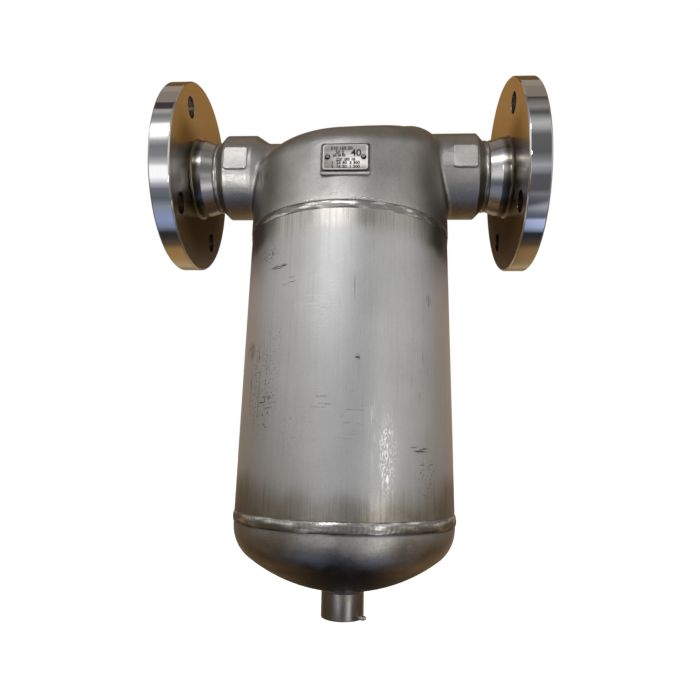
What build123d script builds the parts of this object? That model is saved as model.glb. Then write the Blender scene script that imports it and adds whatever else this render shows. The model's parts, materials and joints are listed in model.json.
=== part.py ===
from build123d import *
import math
import os

# A cyclone steam separator for a DN50 line, of stainless steel.
# Wet steam enters the cast head from the left, is spun by the swirl vanes, and throws
# its water on the shell wall. Dry steam rises through the centre tube and leaves on the
# right. The water runs past the baffle into the sump and out of the threaded drain.
# Millimetres. The model is drawn about the crossing of the pipe axis (X) and the vessel
# axis (Z), and every piece is moved at the end so that the middle of the inlet flange's
# sealing face is the origin.

# Pipe run
face_to_face = 310.0
port_bore = 50.0
port_wall = 5.2

# Flanges
flange_od = 165.0
flange_thickness = 20.0
raised_face_od = 102.0
raised_face_height = 3.0
bolt_circle = 125.0
bolt_hole = 18.0
bolt_count = 4
rim_chamfer = 1.0
hub_length = 18.5
hub_base_proud = 4.2
hub_waist_proud = 3.3
hub_taper_length = 10.2
hub_root_radius = 2.5

# Butt welds between the flanges and the head
port_weld_root = 2.0
port_weld_face = 3.2
port_weld_crown = 0.35
port_land = 1.4

# Head casting, outside
axis_to_seam = 63.3
head_step = 0.8
roof_height = 9.8
roof_rise_start = -4.0
roof_rise_radius = 72.0
roof_top = 44.0
roof_top_radius = 50.0
shoulder_radius = 24.0
collar_proud = 6.9
collar_chamfer = 6.6
inlet_collar_length = 25.5
collar_taper_length = 10.5
collar_edge_radius = 1.5
taper_shoulder_radius = 4.0
taper_foot_radius = 6.0
neck_root_radius = 4.0
collar_root_radius = 4.0
bend_root_radius = 6.0
outlet_collar_inset = 21.4

# Head casting, inside
roof_wall = 6.5
inlet_reach = 33.4
outlet_bend_radius = 36.0
spigot_wall = 5.2
spigot_length = 16.0
spigot_end = 62.0
tube_seat_depth = 12.0

# Cast pads
collar_pad_size = 20.0
collar_pad_from_end = 18.7
collar_pad_proud = 0.9
plate_pad_width = 37.0
plate_pad_height = 25.5
plate_pad_below_axis = 28.6
plate_pad_proud = 1.0
pad_corner = 2.5

# Name plate and its rivets
plate_width = 33.4
plate_height = 20.6
plate_thickness = 1.2
plate_above_pad_middle = 1.0
plate_corner = 2.2
rivet_spacing = 26.4
rivet_shank = 2.4
rivet_head = 4.0
rivet_head_height = 1.0
rivet_depth = 4.0

# Shell pipe
shell_od = 165.2
shell_wall = 5.0
shell_length = 220.0

# Seams between head, shell and dished end
seam_root = 2.0
head_seam_face = 5.8
head_seam_crown = 0.7
cap_seam_face = 7.4
cap_seam_crown = 0.6

# Dished end
cap_straight = 5.0
cap_crown_radius = 120.0
cap_knuckle_radius = 27.5
cap_wall = 5.0

# Drain socket
drain_od = 31.4
drain_below_cap = 18.6
drain_thread_depth = 16.0
drain_thread_minor = 24.1
drain_thread_major = 26.4
drain_passage = 20.0
drain_weld_leg = 2.0
drain_edge_chamfer = 0.8

# Centre tube that carries the dry steam up to the outlet
tube_od = 60.3
tube_wall = 2.9
tube_length = 140.0

# Swirl vanes
vane_count = 8
vane_below_spigot = 4.5
vane_height = 42.0
vane_twist = 62.0
vane_thickness = 3.0
hub_wall = 3.6

# Fillet welds on the centre tube
tube_weld_leg = 3.0
vane_weld_leg = 2.4

# Baffle over the sump and the plates it stands on
baffle_od = 128.0
baffle_thickness = 2.5
baffle_slope = 14.0
baffle_above_cap_line = 14.0
breaker_width = 84.0
breaker_thickness = 3.0
breaker_drain_gap = 1.0
breaker_drain_height = 6.0

# Clearances
tube_clearance = 0.15
vane_clearance = 0.3
socket_clearance = 0.1
rivet_clearance = 0.05
breaker_clearance = 0.1

# How far a cutting solid reaches past the metal it cuts
cut_margin = 1.0

# Levels along the vessel axis and lengths along the pipe axis, all worked out
half_run = face_to_face / 2
flange_back = half_run - flange_thickness
hub_end = flange_back - hub_length
collar_end = hub_end - port_weld_root
bore_radius = port_bore / 2
neck_radius = bore_radius + port_wall
collar_radius = neck_radius + collar_proud
shell_radius = shell_od / 2
head_radius = shell_radius + head_step
inlet_turn = inlet_reach - head_radius
shell_bore_radius = shell_radius - shell_wall
shell_top = -axis_to_seam
shell_bottom = shell_top - shell_length
cap_line = shell_bottom - cap_straight


def revolved(points, radii, axis):
    """A solid of revolution of a closed outline, with a fillet radius for each corner."""
    if radii is None:
        outline = Polyline(points, close=True)
    else:
        outline = FilletPolyline(points, radius=radii, close=True)
    return revolve(make_face(outline), axis)


def turned_on_pipe(corners, radii=None):
    """A turned solid about the pipe axis. Corners are (X, radius) pairs."""
    points = [(x, 0, radius) for x, radius in corners]
    return revolved(points, radii, Axis.X)


def turned_on_vessel(corners, radii=None):
    """A turned solid about the vessel axis. Corners are (Z, radius) pairs."""
    points = [(radius, 0, z) for z, radius in corners]
    return revolved(points, radii, Axis.Z)


def upright_block(width, depth, height, corner, middle, back):
    """A block whose front faces -Y, with rounded corners in that face."""
    face = Plane.XZ * RectangleRounded(width, height, corner)
    return Pos(middle[0], back, middle[1]) * extrude(face, depth)


# Flanges


def flange():
    """Weld-neck flange on the +X side, with its bore, hub, raised face and bolt holes."""
    rim = half_run - raised_face_height
    outside = [
        (half_run, bore_radius),
        (half_run, raised_face_od / 2),
        (rim, raised_face_od / 2),
        (rim, flange_od / 2 - rim_chamfer),
        (rim - rim_chamfer, flange_od / 2),
        (flange_back + rim_chamfer, flange_od / 2),
        (flange_back, flange_od / 2 - rim_chamfer),
        (flange_back, neck_radius + hub_base_proud),
        (hub_end + hub_taper_length, neck_radius + hub_waist_proud),
        (hub_end + port_weld_side(), neck_radius),
        (hub_end, bore_radius + port_land),
        (hub_end, bore_radius),
    ]
    radii = [0] * len(outside)
    radii[7] = hub_root_radius
    body = turned_on_pipe(outside, radii)
    return body - bolt_holes()


def bolt_holes():
    """The pattern of bolt holes, straddling the upright and level centre lines."""
    hole = Rot(0, 90, 0) * Cylinder(bolt_hole / 2, flange_thickness + 2 * cut_margin)
    offset = 180 / bolt_count
    step = 360 / bolt_count
    place = Pos(half_run - flange_thickness / 2, 0, 0)
    return [
        place * Rot(offset + index * step, 0, 0) * Pos(0, bolt_circle / 2, 0) * hole
        for index in range(bolt_count)
    ]


def port_weld_side():
    """How far a port weld's face reaches past its root on one side."""
    return (port_weld_face - port_weld_root) / 2


def port_weld():
    """Butt weld that fills the groove between the outlet collar and its flange."""
    side = port_weld_side()
    land = bore_radius + port_land
    middle = (collar_end + hub_end) / 2
    section = [
        (hub_end, bore_radius),
        (hub_end, land),
        (hub_end + side, neck_radius),
        (middle, neck_radius + port_weld_crown),
        (collar_end - side, neck_radius),
        (collar_end, land),
        (collar_end, bore_radius),
    ]
    return turned_on_pipe(section)


# Head casting


def roof_outline(drop):
    """Front view of the head's roof: flat over the inlet, rising towards the outlet."""
    low = roof_height - drop
    high = roof_top - drop
    rise = roof_rise_radius + drop
    fall = roof_top_radius - drop
    slope = math.acos(1 - (high - low) / (rise + fall))
    join_x = roof_rise_start + rise * math.sin(slope)
    join_z = low + rise * (1 - math.cos(slope))
    crest_x = join_x + fall * math.sin(slope)
    left = -2 * head_radius
    right = crest_x + 2 * head_radius
    start = Vector(roof_rise_start, 0, low)
    join = Vector(join_x, 0, join_z)
    crest = Vector(crest_x, 0, high)
    rising = TangentArc(start, join, tangent=(1, 0, 0))
    falling = TangentArc(join, crest, tangent=rising % 1)
    edges = [
        Line((left, 0, low), start),
        rising,
        falling,
        Line(crest, (right, 0, high)),
        Line((right, 0, high), (right, 0, shell_top)),
        Line((right, 0, shell_top), (left, 0, shell_top)),
        Line((left, 0, shell_top), (left, 0, low)),
    ]
    return make_face(edges)


def head_form(radius, drop, floor):
    """Round head with a rounded shoulder, its roof lowered by the given drop."""
    slab = extrude(roof_outline(drop), 2 * head_radius, both=True)
    top = roof_top + head_radius
    column = Pos(0, 0, floor) * Cylinder(
        radius, top - floor, align=(Align.CENTER, Align.CENTER, Align.MIN)
    )
    form = (column & slab).solid()
    curved = form.edges().filter_by(GeomType.LINE, reverse=True).sort_by(Axis.Z)
    return fillet(curved[1:], shoulder_radius - drop)


def passage(radius, start):
    """Round solid along the outlet passage, from a station on X to the centre tube."""
    path = FilletPolyline(
        (start, 0, 0), (0, 0, 0), (0, 0, -spigot_end), radius=outlet_bend_radius
    )
    section = Plane(origin=(start, 0, 0), z_dir=(-1, 0, 0)) * Circle(radius)
    return sweep(section, path)


def inlet_neck():
    """Inlet collar, tapered to the neck, which ends in a round cap over the chamber."""
    taper_start = collar_end - inlet_collar_length - collar_chamfer
    taper_end = taper_start - collar_taper_length
    side = port_weld_side()
    corners = [
        (-collar_end, 0),
        (-collar_end, bore_radius + port_land),
        (-collar_end + side, neck_radius),
        (-collar_end + side + collar_chamfer, collar_radius),
        (-taper_start, collar_radius),
        (-taper_end, neck_radius),
        (inlet_turn, neck_radius),
        (inlet_turn, 0),
    ]
    radii = [0, 0, 0, collar_edge_radius, taper_shoulder_radius, taper_foot_radius, 0, 0]
    cap = Pos(inlet_turn, 0, 0) * Sphere(neck_radius)
    return turned_on_pipe(corners, radii) + cap


def outlet_collar(start):
    """Outlet collar, from its chamfered end to a taper that starts inside the head."""
    side = port_weld_side()
    corners = [
        (collar_end, 0),
        (collar_end, bore_radius + port_land),
        (collar_end - side, neck_radius),
        (collar_end - side - collar_chamfer, collar_radius),
        (start, collar_radius),
        (start - collar_taper_length, neck_radius),
        (start - collar_taper_length, 0),
    ]
    radii = [0, 0, 0, collar_edge_radius, taper_shoulder_radius, 0, 0]
    return turned_on_pipe(corners, radii)


def inlet_void():
    """Inlet bore, ending in a round hollow that opens down into the chamber."""
    length = collar_end + inlet_turn
    bore = Pos(-collar_end, 0, 0) * Rot(0, 90, 0) * Cylinder(
        bore_radius, length, align=(Align.CENTER, Align.CENTER, Align.MIN)
    )
    return bore + Pos(inlet_turn, 0, 0) * Sphere(bore_radius)


def collar_pad(side):
    """Square cast pad on the front of a collar."""
    depth = collar_radius + collar_pad_proud - neck_radius
    return upright_block(
        collar_pad_size, depth, collar_pad_size, pad_corner,
        (side * (collar_end - collar_pad_from_end), 0), -neck_radius,
    )


def plate_pad():
    """Flat pad on the front of the head that carries the name plate."""
    back = head_radius - roof_wall / 2
    return upright_block(
        plate_pad_width, head_radius + plate_pad_proud - back, plate_pad_height, pad_corner,
        (0, -plate_pad_below_axis), -back,
    )


def spigot():
    """Thicker end of the outlet passage, bored to take the centre tube."""
    radius = tube_od / 2 + tube_clearance + spigot_wall
    return Pos(0, 0, -spigot_end) * Cylinder(
        radius, spigot_length, align=(Align.CENTER, Align.CENTER, Align.MIN)
    )


def tube_seat():
    """Counterbore in the spigot for the centre tube."""
    return Pos(0, 0, -spigot_end) * Cylinder(
        tube_od / 2 + tube_clearance, tube_seat_depth,
        align=(Align.CENTER, Align.CENTER, Align.MIN),
    )


def head_seam_side():
    """How far the head seam's face reaches past its root on one side."""
    return (head_seam_face - seam_root) / 2


def head_bevel():
    """Ring cut from the lower end of the head for its seam."""
    end = shell_top + seam_root / 2
    return turned_on_vessel(
        [
            (end, shell_bore_radius),
            (end + head_seam_side(), head_radius),
            (end + head_seam_side(), head_radius + cut_margin),
            (end - cut_margin, head_radius + cut_margin),
            (end - cut_margin, shell_bore_radius),
        ],
    )


def blended(body, branch, radius):
    """Two solids joined, with a fillet along the line where they meet."""
    joined = body + branch
    return fillet(new_edges(body, branch, combined=joined), radius)


def head_casting():
    """Cast head: chamber, inlet neck, outlet passage, collars and pads in one piece."""
    floor = shell_top + seam_root / 2
    inset = head_radius - outlet_collar_inset
    outside = head_form(head_radius, 0, floor)
    outside = blended(outside, outlet_collar(inset), collar_root_radius)
    outside = blended(outside, inlet_neck(), neck_root_radius)
    bend_start = inset - collar_taper_length
    outside = blended(outside, passage(neck_radius, bend_start), bend_root_radius)
    outside = outside + collar_pad(-1) + collar_pad(1) + plate_pad()
    chamber = head_form(shell_bore_radius, roof_wall, floor - cut_margin)
    walls = outside - chamber - inlet_void()
    inner = passage(neck_radius, head_radius) + spigot()
    head = walls + inner - passage(bore_radius, collar_end) - tube_seat()
    return head - head_bevel()


# Shell, seams and dished end


def shell_pipe():
    """Straight pipe of the vessel, bevelled at both ends."""
    top = shell_top - seam_root / 2
    bottom = shell_bottom + seam_root / 2
    corners = [
        (top, shell_bore_radius),
        (top - head_seam_side(), shell_radius),
        (bottom + cap_seam_side(), shell_radius),
        (bottom, shell_bore_radius),
    ]
    return turned_on_vessel(corners)


def cap_seam_side():
    """How far the cap seam's face reaches past its root on one side."""
    return (cap_seam_face - seam_root) / 2


def seam(level, upper_radius, side, crown):
    """Girth weld: its section fills the groove and ends in a rounded crown."""
    upper = Vector(upper_radius, 0, level + seam_root / 2 + side)
    lower = Vector(shell_radius, 0, level - seam_root / 2 - side)
    middle = (upper + lower) * 0.5 + Vector(crown, 0, 0)
    root_upper = Vector(shell_bore_radius, 0, level + seam_root / 2)
    root_lower = Vector(shell_bore_radius, 0, level - seam_root / 2)
    edges = [
        Line(root_upper, upper),
        ThreePointArc(upper, middle, lower),
        Line(lower, root_lower),
        Line(root_lower, root_upper),
    ]
    return revolve(make_face(edges), Axis.Z)


def head_seam():
    """Weld between head and shell."""
    return seam(shell_top, head_radius, head_seam_side(), head_seam_crown)


def cap_seam():
    """Weld between shell and dished end."""
    return seam(shell_bottom, shell_radius, cap_seam_side(), cap_seam_crown)


def dish_depth(radius, crown, knuckle):
    """Depth of a dished end below its straight flange."""
    return crown - math.sqrt((crown - knuckle) ** 2 - (radius - knuckle) ** 2)


def dish_solid(radius, crown, knuckle, top):
    """Solid dished end with a straight flange up to the given level."""
    depth = dish_depth(radius, crown, knuckle)
    crown_middle = cap_line - depth + crown
    lean = math.atan2(radius - knuckle, crown_middle - cap_line)
    join = Vector(crown * math.sin(lean), 0, crown_middle - crown * math.cos(lean))
    half = Vector(crown * math.sin(lean / 2), 0, crown_middle - crown * math.cos(lean / 2))
    edge = Vector(radius, 0, cap_line)
    bottom = Vector(0, 0, cap_line - depth)
    edges = [
        Line((0, 0, top), (radius, 0, top)),
        Line((radius, 0, top), edge),
        TangentArc(edge, join, tangent=(0, 0, -1)),
        ThreePointArc(join, half, bottom),
        Line(bottom, (0, 0, top)),
    ]
    return revolve(make_face(edges), Axis.Z)


def cap_outside(top):
    """Outer form of the dished end."""
    return dish_solid(shell_radius, cap_crown_radius, cap_knuckle_radius, top)


def cap_inside(top, shrink=0.0):
    """Hollow of the dished end, drawn in by an optional clearance."""
    wall = cap_wall + shrink
    return dish_solid(
        shell_radius - wall, cap_crown_radius - wall, cap_knuckle_radius - wall, top
    )


cap_lowest = cap_line - dish_depth(shell_radius, cap_crown_radius, cap_knuckle_radius)
cap_floor = cap_lowest + cap_wall


def crown_level(radius, crown, lowest):
    """Level of a crown's surface at a distance from the vessel axis."""
    return lowest + crown - math.sqrt(crown**2 - radius**2)


def bottom_cap():
    """Dished end with its seam bevel and the hole for the drain socket."""
    end = shell_bottom - seam_root / 2
    bevel = turned_on_vessel(
        [
            (end, shell_bore_radius),
            (end - cap_seam_side(), shell_radius),
            (end - cap_seam_side(), shell_radius + cut_margin),
            (end + cut_margin, shell_radius + cut_margin),
            (end + cut_margin, shell_bore_radius),
        ],
    )
    depth = end - cap_lowest
    hole = Pos(0, 0, cap_lowest) * Cylinder(drain_od / 2 + socket_clearance, 2 * depth)
    return cap_outside(end) - cap_inside(end + cut_margin) - bevel - hole


# Drain


drain_end = cap_lowest - drain_below_cap


def drain_socket():
    """Threaded drain socket, set through the dished end."""
    top = crown_level(drain_od / 2, cap_crown_radius - cap_wall, cap_floor)
    thread_end = drain_end + drain_thread_depth
    major = drain_thread_major / 2
    minor = drain_thread_minor / 2
    chamfer_depth = major - minor
    corners = [
        (drain_end, major),
        (drain_end, drain_od / 2 - drain_edge_chamfer),
        (drain_end + drain_edge_chamfer, drain_od / 2),
        (top, drain_od / 2),
        (top, drain_passage / 2),
        (thread_end + minor - drain_passage / 2, drain_passage / 2),
        (thread_end, minor),
        (drain_end + chamfer_depth, minor),
    ]
    return turned_on_vessel(corners)


def drain_weld():
    """Fillet weld between the dished end and the drain socket."""
    radius = drain_od / 2
    outer = radius + drain_weld_leg
    upper = Vector(radius, 0, crown_level(radius, cap_crown_radius, cap_lowest))
    toe = Vector(outer, 0, crown_level(outer, cap_crown_radius, cap_lowest))
    lower = upper - Vector(0, 0, drain_weld_leg)
    between = (radius + outer) / 2
    on_cap = Vector(between, 0, crown_level(between, cap_crown_radius, cap_lowest))
    edges = [
        Line(upper, lower),
        Line(lower, toe),
        ThreePointArc(toe, on_cap, upper),
    ]
    return revolve(make_face(edges), Axis.Z)


# Inside of the vessel


tube_top = tube_seat_depth - spigot_end
hub_radius = tube_od / 2 + tube_clearance + hub_wall
vane_top = -spigot_end - vane_below_spigot
vane_bottom = vane_top - vane_height


def centre_tube():
    """Tube that takes dry steam from the middle of the vessel up into the head."""
    top = tube_top
    bottom = top - tube_length
    outer = tube_od / 2
    inner = outer - tube_wall
    return turned_on_vessel([(top, inner), (top, outer), (bottom, outer), (bottom, inner)])


def vane_tip_radius():
    """Radius of the vane tips, clear of the shell."""
    return shell_bore_radius - vane_clearance


def vane(index):
    """One helical vane from the hub out to the shell."""
    root = hub_radius - hub_wall / 2
    length = vane_tip_radius() + vane_thickness - root
    blank = Pos(root + length / 2, 0, vane_bottom) * Rectangle(length, vane_thickness)
    twisted = Solid.extrude_linear_with_rotation(
        blank.face(), Vector(0, 0, vane_bottom), Vector(0, 0, vane_height), vane_twist
    )
    return Rot(0, 0, index * 360 / vane_count) * twisted


def swirl_vanes():
    """Hub and helical vanes that set the wet steam spinning, cast in one piece."""
    tip = vane_tip_radius()
    ring = [(vane_top, hub_radius), (vane_top, tip), (vane_bottom, tip), (vane_bottom, hub_radius)]
    room = turned_on_vessel(ring)
    inner = tube_od / 2 + tube_clearance
    hub = [
        (vane_top, inner), (vane_top, hub_radius), (vane_bottom, hub_radius), (vane_bottom, inner),
    ]
    wheel = turned_on_vessel(hub)
    for index in range(vane_count):
        wheel = wheel + (vane(index) & room)
    return wheel


def tube_fillet_weld(level, leg):
    """Fillet weld round the centre tube, below a face at the given level."""
    outer = tube_od / 2
    return turned_on_vessel([(level, outer), (level, outer + leg), (level - leg, outer)])


baffle_rim = cap_line + baffle_above_cap_line
baffle_rise = baffle_od / 2 * math.tan(math.radians(baffle_slope))


def drain_baffle():
    """Shallow cone that keeps the spinning steam off the water in the sump."""
    corners = [
        (baffle_rim, baffle_od / 2),
        (baffle_rim + baffle_rise, 0),
        (baffle_rim + baffle_rise + baffle_thickness, 0),
        (baffle_rim + baffle_thickness, baffle_od / 2),
    ]
    return turned_on_vessel(corners)


def under_baffle():
    """Room between the baffle's underside and the dished end."""
    cone = turned_on_vessel(
        [
            (cap_lowest, 0),
            (cap_lowest, baffle_od / 2),
            (baffle_rim, baffle_od / 2),
            (baffle_rim + baffle_rise, 0),
        ],
    )
    return cone & cap_inside(baffle_rim + baffle_rise, breaker_clearance)


def breaker_plates():
    """Two crossed plates, half-lapped, that carry the baffle and stop the water turning."""
    top = baffle_rim + baffle_rise
    height = top - cap_lowest
    room = under_baffle()
    foot = drain_od / 2 + breaker_drain_gap
    drain_room = Pos(0, 0, cap_floor) * Cylinder(foot, 2 * breaker_drain_height)
    plates = []
    waist = (baffle_rim + cap_floor) / 2
    for turn, slot_up in ((0, True), (90, False)):
        blank = Pos(0, 0, cap_lowest + height / 2) * Box(breaker_width, breaker_thickness, height)
        lap = Box(breaker_thickness + 2 * breaker_clearance, 2 * breaker_thickness, height)
        shift = height / 2 if slot_up else -height / 2
        lap = Pos(0, 0, waist + shift) * lap
        plates.append((Rot(0, 0, turn) * (blank - lap)) & room - drain_room)
    return plates


# Name plate


plate_back = head_radius + plate_pad_proud
plate_middle = plate_above_pad_middle - plate_pad_below_axis


def rivet_holes(radius, depth):
    """Round pegs on the rivet centres, going into the plate from its front."""
    front = -(plate_back + plate_thickness)
    peg = Rot(-90, 0, 0) * Cylinder(
        radius, depth, align=(Align.CENTER, Align.CENTER, Align.MIN)
    )
    return [
        Pos(side * rivet_spacing / 2, front, plate_middle) * peg for side in (-1, 1)
    ]


def name_plate():
    """Blank name plate on its pad."""
    plate = upright_block(
        plate_width, plate_thickness, plate_height, plate_corner, (0, plate_middle), -plate_back
    )
    return plate - rivet_holes(rivet_shank / 2 + rivet_clearance, plate_thickness)


def name_plate_rivets():
    """Two round-head drive rivets."""
    front = -(plate_back + plate_thickness)
    crown = (rivet_head**2 / 4 + rivet_head_height**2) / (2 * rivet_head_height)
    ball = Pos(0, crown - rivet_head_height, 0) * Sphere(crown)
    keep = Rot(90, 0, 0) * Cylinder(
        rivet_head, rivet_head_height, align=(Align.CENTER, Align.CENTER, Align.MIN)
    )
    button = ball & keep
    shanks = rivet_holes(rivet_shank / 2, rivet_depth)
    sides = (-1, 1)
    return [
        Pos(side * rivet_spacing / 2, front, plate_middle) * button + shank
        for side, shank in zip(sides, shanks)
    ]


# Assembly


def build():
    """All pieces of the separator by node name."""
    port = flange()
    bead = port_weld()
    turn = Rot(0, 0, 180)
    plates = breaker_plates()
    rivets = name_plate_rivets()
    rivet_room = rivet_holes(rivet_shank / 2 + rivet_clearance, rivet_depth + rivet_clearance)
    return {
        "head_casting": head_casting() - rivet_room,
        "inlet_flange": turn * port,
        "outlet_flange": port,
        "inlet_flange_weld": turn * bead,
        "outlet_flange_weld": bead,
        "shell_pipe": shell_pipe(),
        "head_seam_weld": head_seam(),
        "bottom_cap": bottom_cap(),
        "cap_seam_weld": cap_seam(),
        "drain_socket": drain_socket(),
        "drain_socket_weld": drain_weld(),
        "centre_tube": centre_tube(),
        "swirl_vanes": swirl_vanes(),
        "tube_seat_weld": tube_fillet_weld(-spigot_end, tube_weld_leg),
        "vane_hub_weld": tube_fillet_weld(vane_bottom, vane_weld_leg),
        "drain_baffle": drain_baffle(),
        "breaker_plate_lower": plates[0],
        "breaker_plate_upper": plates[1],
        "name_plate": name_plate(),
        "name_plate_rivets": Compound(children=rivets),
    }


os.makedirs("parts", exist_ok=True)
to_inlet_face = Pos(half_run, 0, 0)
for name, piece in build().items():
    export_step(to_inlet_face * piece, f"parts/{name}.step")
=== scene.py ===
"""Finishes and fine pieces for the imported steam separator, and the studio round it."""

import json
import logging
import math
from dataclasses import dataclass
from enum import Enum
from typing import ClassVar

import bpy
from mathutils import Matrix, Vector

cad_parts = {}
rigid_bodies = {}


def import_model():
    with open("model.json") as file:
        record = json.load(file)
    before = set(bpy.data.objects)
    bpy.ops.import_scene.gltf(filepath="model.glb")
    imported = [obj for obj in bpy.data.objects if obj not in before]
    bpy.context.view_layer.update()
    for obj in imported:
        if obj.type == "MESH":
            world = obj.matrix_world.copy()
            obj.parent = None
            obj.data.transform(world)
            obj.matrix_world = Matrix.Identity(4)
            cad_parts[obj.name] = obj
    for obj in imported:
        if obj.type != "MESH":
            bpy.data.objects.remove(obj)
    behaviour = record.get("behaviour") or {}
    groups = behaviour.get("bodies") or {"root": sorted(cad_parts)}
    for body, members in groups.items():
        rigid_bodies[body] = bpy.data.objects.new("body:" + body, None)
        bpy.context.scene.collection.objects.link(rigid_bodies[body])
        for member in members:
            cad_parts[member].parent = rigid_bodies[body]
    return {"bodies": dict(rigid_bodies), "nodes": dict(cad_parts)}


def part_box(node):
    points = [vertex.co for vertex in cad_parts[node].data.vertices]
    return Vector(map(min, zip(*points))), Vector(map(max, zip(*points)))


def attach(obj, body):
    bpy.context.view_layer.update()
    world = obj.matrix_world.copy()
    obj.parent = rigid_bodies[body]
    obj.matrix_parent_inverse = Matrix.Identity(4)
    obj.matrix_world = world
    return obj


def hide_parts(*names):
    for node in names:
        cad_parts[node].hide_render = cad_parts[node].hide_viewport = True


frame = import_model()

LOG = logging.getLogger("separator")
BODY = "root"
VESSEL_X = 0.155
FULL_TURN = 2.0 * math.pi
MERGE_REACH = 0.00001
SHARP = 40.0

Colour = tuple[float, float, float]
Point = tuple[float, float, float]
Section = list[tuple[float, float]]
Stops = tuple[tuple[float, Colour], ...]
Piece = bpy.types.Object
Signal = bpy.types.NodeSocket
Wire = Signal | float | tuple[float, ...]
Look = tuple[Wire, Wire, Wire]

RUBBED: Colour = (0.80, 0.79, 0.77)


class Line(Enum):
    """The two lines that the round pieces turn about."""

    PIPE = "pipe"
    VESSEL = "vessel"


class Side(Enum):
    """The two ends of the pipe run."""

    INLET = -1
    OUTLET = 1


# Shader trees


class Tree:
    """A node tree that takes nodes and wires in few words."""

    def __init__(self, tree: bpy.types.NodeTree) -> None:
        """Keeps the tree that the nodes go into."""
        self.tree = tree

    def feed(self, socket: Signal, value: Wire) -> None:
        """Wires or sets one socket.

        Args:
            socket: The input that gets the value.
            value: An output to wire to it, or a number, colour or vector to set on it.
        """
        if isinstance(value, Signal):
            self.tree.links.new(value, socket)
        elif socket.type == "RGBA":
            socket.default_value = (*value[:3], 1.0)
        else:
            socket.default_value = value

    def add(
        self, kind: str, wires: dict[str | int, Wire] | None = None, **settings: object
    ) -> bpy.types.Node:
        """Adds a node.

        Args:
            kind: Blender's name of the node's type.
            wires: What each input gets, by its name or its place.
            **settings: The node's own settings.

        Returns:
            The new node.
        """
        node = self.tree.nodes.new(kind)
        for name, value in settings.items():
            setattr(node, name, value)
        for name, value in (wires or {}).items():
            self.feed(node.inputs[name], value)
        return node

    def sum(self, kind: str, *terms: Wire, clamp: bool = False) -> Signal:
        """Adds a Math node of one to three inputs and gives its result."""
        wires = dict(enumerate(terms))
        return self.add("ShaderNodeMath", wires, operation=kind, use_clamp=clamp).outputs[0]

    def times(self, first: Wire, second: Wire, clamp: bool = False) -> Signal:
        """Multiplies two numbers."""
        return self.sum("MULTIPLY", first, second, clamp=clamp)

    def vector(self, kind: str, *terms: Wire) -> Signal:
        """Adds a Vector Math node and gives its result, a number for a length or a dot product."""
        node = self.add("ShaderNodeVectorMath", dict(enumerate(terms)), operation=kind)
        return node.outputs[1 if kind in ("LENGTH", "DOT_PRODUCT") else 0]

    def stretch(self, vector: Wire, scale: Wire) -> Signal:
        """Multiplies a vector by a scale for each of its three directions."""
        return self.vector("MULTIPLY", vector, scale)

    def blend(self, share: Wire, first: Wire, second: Wire) -> Signal:
        """Mixes two colours by the second one's share, from 0 to 1."""
        wires = {0: share, 6: first, 7: second}
        return self.add("ShaderNodeMix", wires, data_type="RGBA").outputs[2]

    def layers(self, colour: Wire, *layers: tuple[Wire, Wire]) -> Wire:
        """Lays colours over one another.

        Args:
            colour: The lowest colour.
            *layers: Pairs of a share and the colour that it lays over what is there.

        Returns:
            The colour seen.
        """
        for share, over in layers:
            colour = self.blend(share, colour, over)
        return colour

    def fade(
        self, value: Wire, start: Wire, end: Wire, low: float = 0.0, high: float = 1.0
    ) -> Signal:
        """Maps a value smoothly from one range to another.

        Args:
            value: What is mapped.
            start: The value that gives the low end.
            end: The value that gives the high end.
            low: The result at the start.
            high: The result at the end.

        Returns:
            The mapped value, which never leaves the second range.
        """
        wires = {0: value, 1: start, 2: end, 3: low, 4: high}
        node = self.add("ShaderNodeMapRange", wires, interpolation_type="SMOOTHSTEP")
        return node.outputs[0]

    def noise(
        self, vector: Wire, scale: Wire, detail: float = 3.0, rough: float = 0.5
    ) -> Signal:
        """Adds noise about 0.5, by its patches in a metre, its finer layers and their strength."""
        wires = {"Vector": vector, "Scale": scale, "Detail": detail, "Roughness": rough}
        return self.add("ShaderNodeTexNoise", wires).outputs[0]

    def ramp(self, value: Wire, stops: Stops) -> Signal:
        """Adds a row of colours.

        Args:
            value: Where the row is read, from 0 to 1.
            stops: Pairs of place and colour, in rising order.

        Returns:
            The colour read.
        """
        node = self.add("ShaderNodeValToRGB", {0: value})
        row = node.color_ramp.elements
        row[0].position, row[1].position = stops[0][0], stops[-1][0]
        for place, _ in stops[1:-1]:
            row.new(place)
        for element, (_, colour) in zip(row, stops):
            element.color = (*colour, 1.0)
        return node.outputs[0]

    def object_place(self) -> Signal:
        """Gives the place on the object, which is the row frame in metres."""
        return self.add("ShaderNodeTexCoord").outputs["Object"]

    def parts(self, vector: Wire) -> list[Signal]:
        """Splits a vector into its three numbers."""
        return list(self.add("ShaderNodeSeparateXYZ", {0: vector}).outputs)


SOCKETS = {"value": "NodeSocketFloat", "vector": "NodeSocketVector", "colour": "NodeSocketColor"}


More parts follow.
